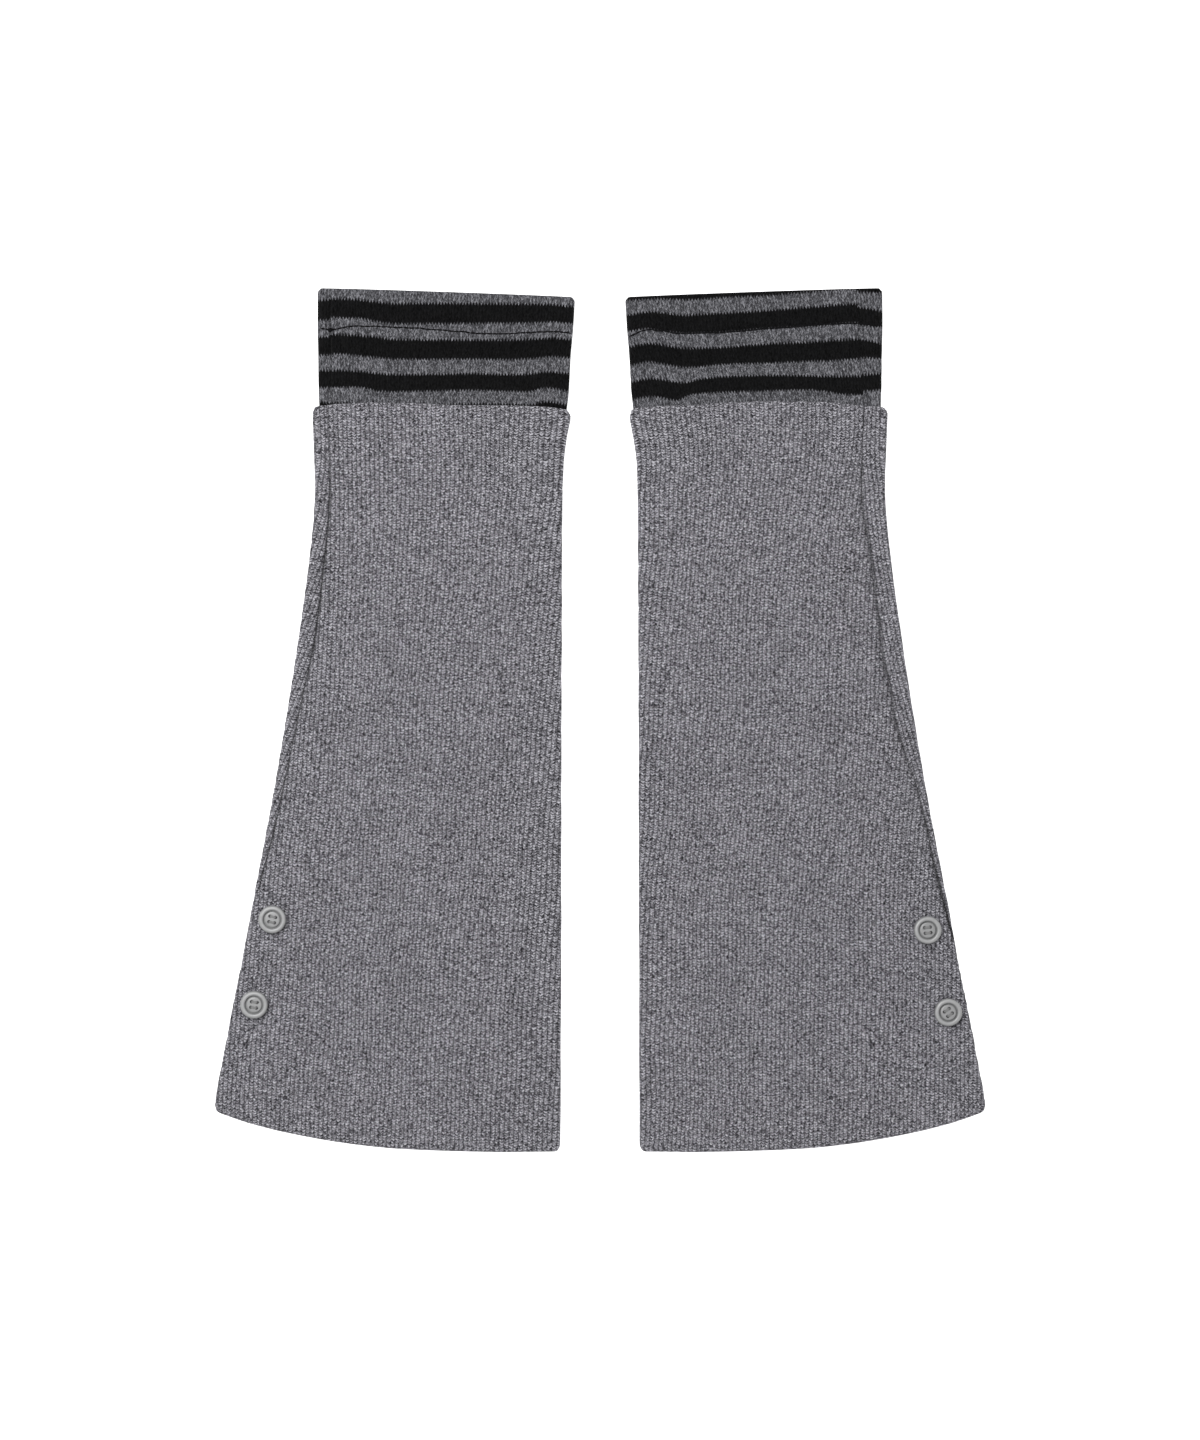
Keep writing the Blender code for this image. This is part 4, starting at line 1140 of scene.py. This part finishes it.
# Buttons
buttons = {
    "profile": (  # radius, height
        (5.6, 0.0), (6.4, 0.15), (6.85, 0.6), (7.0, 1.15), (6.93, 1.65), (6.65, 2.1), (6.2, 2.42),
        (5.7, 2.55), (5.2, 2.5), (4.85, 2.35), (4.6, 2.1), (4.5, 1.7), (4.46, 0.95), (4.0, 0.95),
        (3.95, 1.6), (3.85, 1.82), (3.6, 1.92), (3.0, 1.95),
    ),
    "discFrom": 4.2,  # inside this radius the plastic takes the disc's darker grey, painted shade for the sunken middle
    "shade": (  # radius, how much painted shade darkens the plastic there
        (0.0, 0.0), (3.4, 0.05), (3.9, 0.3), (4.25, 0.65), (4.6, 0.4), (5.2, 0.05), (5.7, 0.0), (6.3, 0.05),
        (6.7, 0.35), (7.0, 0.65),
    ),
    "steps": 64,
    "holeRadius": 0.85,
    "holeOffset": 1.4,
    "holeSides": 20,
    "drillLength": 6.0,
    "sharpAngle": 40.0,
    "threadRadius": 0.3,
    "threadSides": 8,
    "threadSteps": 10,
    "threadLevel": 1.75,
    "threadRise": 0.35,  # height of a loop, as a share of its half width
    "strandOffset": 0.26,
    "places": {  # u, v, turn in degrees
        "left_button_upper": (143.8, 116.1, -12.0),
        "left_button_lower": (152.9, 73.5, -8.0),
        "right_button_upper": (143.8, 110.8, 7.0),
        "right_button_lower": (154.1, 69.7, 36.0),
    },
}


def makeButton(node, plastics, thread):
    side = pair["sides"][node.split("_")[0]]
    low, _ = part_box(node)
    u, v, turn = buttons["places"][node]
    middle = toWorld(side, u, v, 0.0)
    middle.z = low.z
    mesh = bmesh.new()
    profile = [mesh.verts.new((r * mm, 0.0, z * mm)) for r, z in buttons["profile"]]
    edges = [mesh.edges.new(ends) for ends in zip(profile, profile[1:])]
    bmesh.ops.spin(
        mesh, geom=profile + edges, axis=(0, 0, 1), cent=(0, 0, 0), angle=2 * math.pi,
        steps=buttons["steps"], use_merge=True,
    )
    bmesh.ops.holes_fill(mesh, edges=mesh.edges, sides=0)
    bmesh.ops.recalc_face_normals(mesh, faces=mesh.faces)
    blank = newObject("blank", mesh)
    drillMesh = bmesh.new()
    offset, radius = buttons["holeOffset"] * mm, buttons["holeRadius"] * mm
    for across, up in ((1, 1), (1, -1), (-1, 1), (-1, -1)):
        made = bmesh.ops.create_cone(
            drillMesh, cap_ends=True, segments=buttons["holeSides"], radius1=radius, radius2=radius,
            depth=buttons["drillLength"] * mm,
        )
        bmesh.ops.translate(drillMesh, verts=made["verts"], vec=(offset * across, offset * up, 0.0))
    drill = newObject("drill", drillMesh)
    cut = blank.modifiers.new("holes", "BOOLEAN")
    cut.object = drill
    cut.operation = "DIFFERENCE"
    bpy.context.view_layer.update()
    drilled = bpy.data.meshes.new_from_object(blank.evaluated_get(bpy.context.evaluated_depsgraph_get()))
    for item in (blank, drill):
        bpy.data.objects.remove(item)
    mesh = bmesh.new()
    mesh.from_mesh(drilled)
    # painted shade by radius: the groove and the rim's outer edge
    shadeLayer = mesh.verts.layers.float.new("shade")
    shadeAt = curveThrough(buttons["shade"])
    for vert in mesh.verts:
        vert[shadeLayer] = shadeAt(math.hypot(vert.co.x, vert.co.y) / mm)
    # the middle gets the darker copy of the plastic, as painted shade
    for face in mesh.faces:
        centre = face.calc_center_median()
        face.material_index = 1 if math.hypot(centre.x, centre.y) < buttons["discFrom"] * mm else 0
    place = Matrix.Translation(middle) @ Matrix.Rotation(math.radians(turn), 4, "Z")
    bmesh.ops.transform(mesh, matrix=place, verts=mesh.verts)
    leg, _, level = node.split("_")
    name = f"{leg}Button{level.capitalize()}"
    piece = newPiece(name, mesh, plastics)
    piece.data.set_sharp_from_angle(angle=math.radians(buttons["sharpAngle"]))
    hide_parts(node)

    threads = bmesh.new()
    for up in (-1, 1):
        for strand in (-1, 1):
            ring = bmesh.ops.create_circle(
                threads, segments=buttons["threadSides"], radius=buttons["threadRadius"] * mm
            )["verts"]
            bmesh.ops.translate(threads, verts=ring, vec=(offset, 0.0, 0.0))
            bmesh.ops.spin(
                threads, geom=ring + list({edge for vert in ring for edge in vert.link_edges}),
                axis=(0, 1, 0), cent=(0, 0, 0), angle=-math.pi, steps=buttons["threadSteps"],
            )
            fresh = [vert for vert in threads.verts if not vert.tag]
            for vert in fresh:
                vert.tag = True
                vert.co.z = vert.co.z * buttons["threadRise"] + buttons["threadLevel"] * mm
                vert.co.y += (buttons["holeOffset"] * up + buttons["strandOffset"] * strand) * mm
    bmesh.ops.transform(threads, matrix=place, verts=threads.verts)
    bmesh.ops.recalc_face_normals(threads, faces=threads.faces)
    newPiece(name + "Thread", threads, [thread])
    print(f"{name}: {len(piece.data.polygons)} faces")


# The pieces, one leg warmer at a time
ribKnit = ribKnitMaterial()
stripedJersey = jerseyMaterial()
rimPlastic = plasticMaterial("buttonRim", buttonFinish["rim"])
shadedDiscPlastic = plasticMaterial("shadedButtonDisc", buttonFinish["shadedDisc"])
darkThread, greyThread, buttonThread = (threadMaterial(kind) for kind in ("dark", "grey", "button"))
print("materials ready")

for legName, side in pair["sides"].items():
    bodyShape = makeBody(f"{legName}Body", side, ribBody[legName], ribKnit)
    bandShape = makeBand(f"{legName}Band", side, band[legName], stripedJersey)
    makeTopstitch(f"{legName}Topstitch", side, bandShape, darkThread)
    makeSeamStitches(f"{legName}SeamStitches", side, bodyShape, greyThread)
for node in buttons["places"]:
    makeButton(node, [rimPlastic, shadedDiscPlastic], buttonThread)

# Floor, light and camera
studio = {
    "floorSize": 6.0,  # in metres, as the places of the light and the camera
    "floorDrop": 0.0003,
    "floorColour": (0.92, 0.92, 0.92),
    "floorLift": 1.0,
    "world": 0.5,
    "softbox": {"place": (-0.55, 0.5, 1.9), "size": 0.9, "power": 32.5},
    "cameraHeight": 2.004,
    "lens": 100.0,
    "sensor": 36.0,
}


def makeStudio():
    floorMesh = bmesh.new()
    bmesh.ops.create_grid(floorMesh, x_segments=1, y_segments=1, size=studio["floorSize"] / 2)
    bmesh.ops.translate(floorMesh, verts=floorMesh.verts, vec=(0, 0, -studio["floorDrop"]))
    floor = newObject("floor", floorMesh)
    material, _, shader = startMaterial("paleFloor")
    tune(shader, {"Base Color": (*studio["floorColour"], 1.0), "Roughness": 0.9, "Specular IOR Level": 0.1})
    tune(shader, {"Emission Color": (1.0, 1.0, 1.0, 1.0), "Emission Strength": studio["floorLift"]})
    floor.data.materials.append(material)

    world = bpy.data.worlds.new("studio")
    world.use_nodes = True
    tune(world.node_tree.nodes["Background"], {"Color": (1.0, 1.0, 1.0, 1.0), "Strength": studio["world"]})
    bpy.context.scene.world = world

    softbox = studio["softbox"]
    light = bpy.data.lights.new("softbox", "AREA")
    light.size = softbox["size"]
    light.energy = softbox["power"]
    lamp = bpy.data.objects.new("softbox", light)
    lamp.location = softbox["place"]
    lamp.rotation_euler = (-Vector(softbox["place"])).to_track_quat("-Z", "Y").to_euler()
    bpy.context.scene.collection.objects.link(lamp)

    lens = bpy.data.cameras.new("camera")
    lens.lens = studio["lens"]
    lens.sensor_width = studio["sensor"]
    camera = bpy.data.objects.new("camera", lens)
    camera.location = (0.0, 0.0, studio["cameraHeight"])
    bpy.context.scene.collection.objects.link(camera)
    bpy.context.scene.camera = camera
    bpy.context.scene.view_settings.view_transform = "Standard"


makeStudio()
print("studio ready")
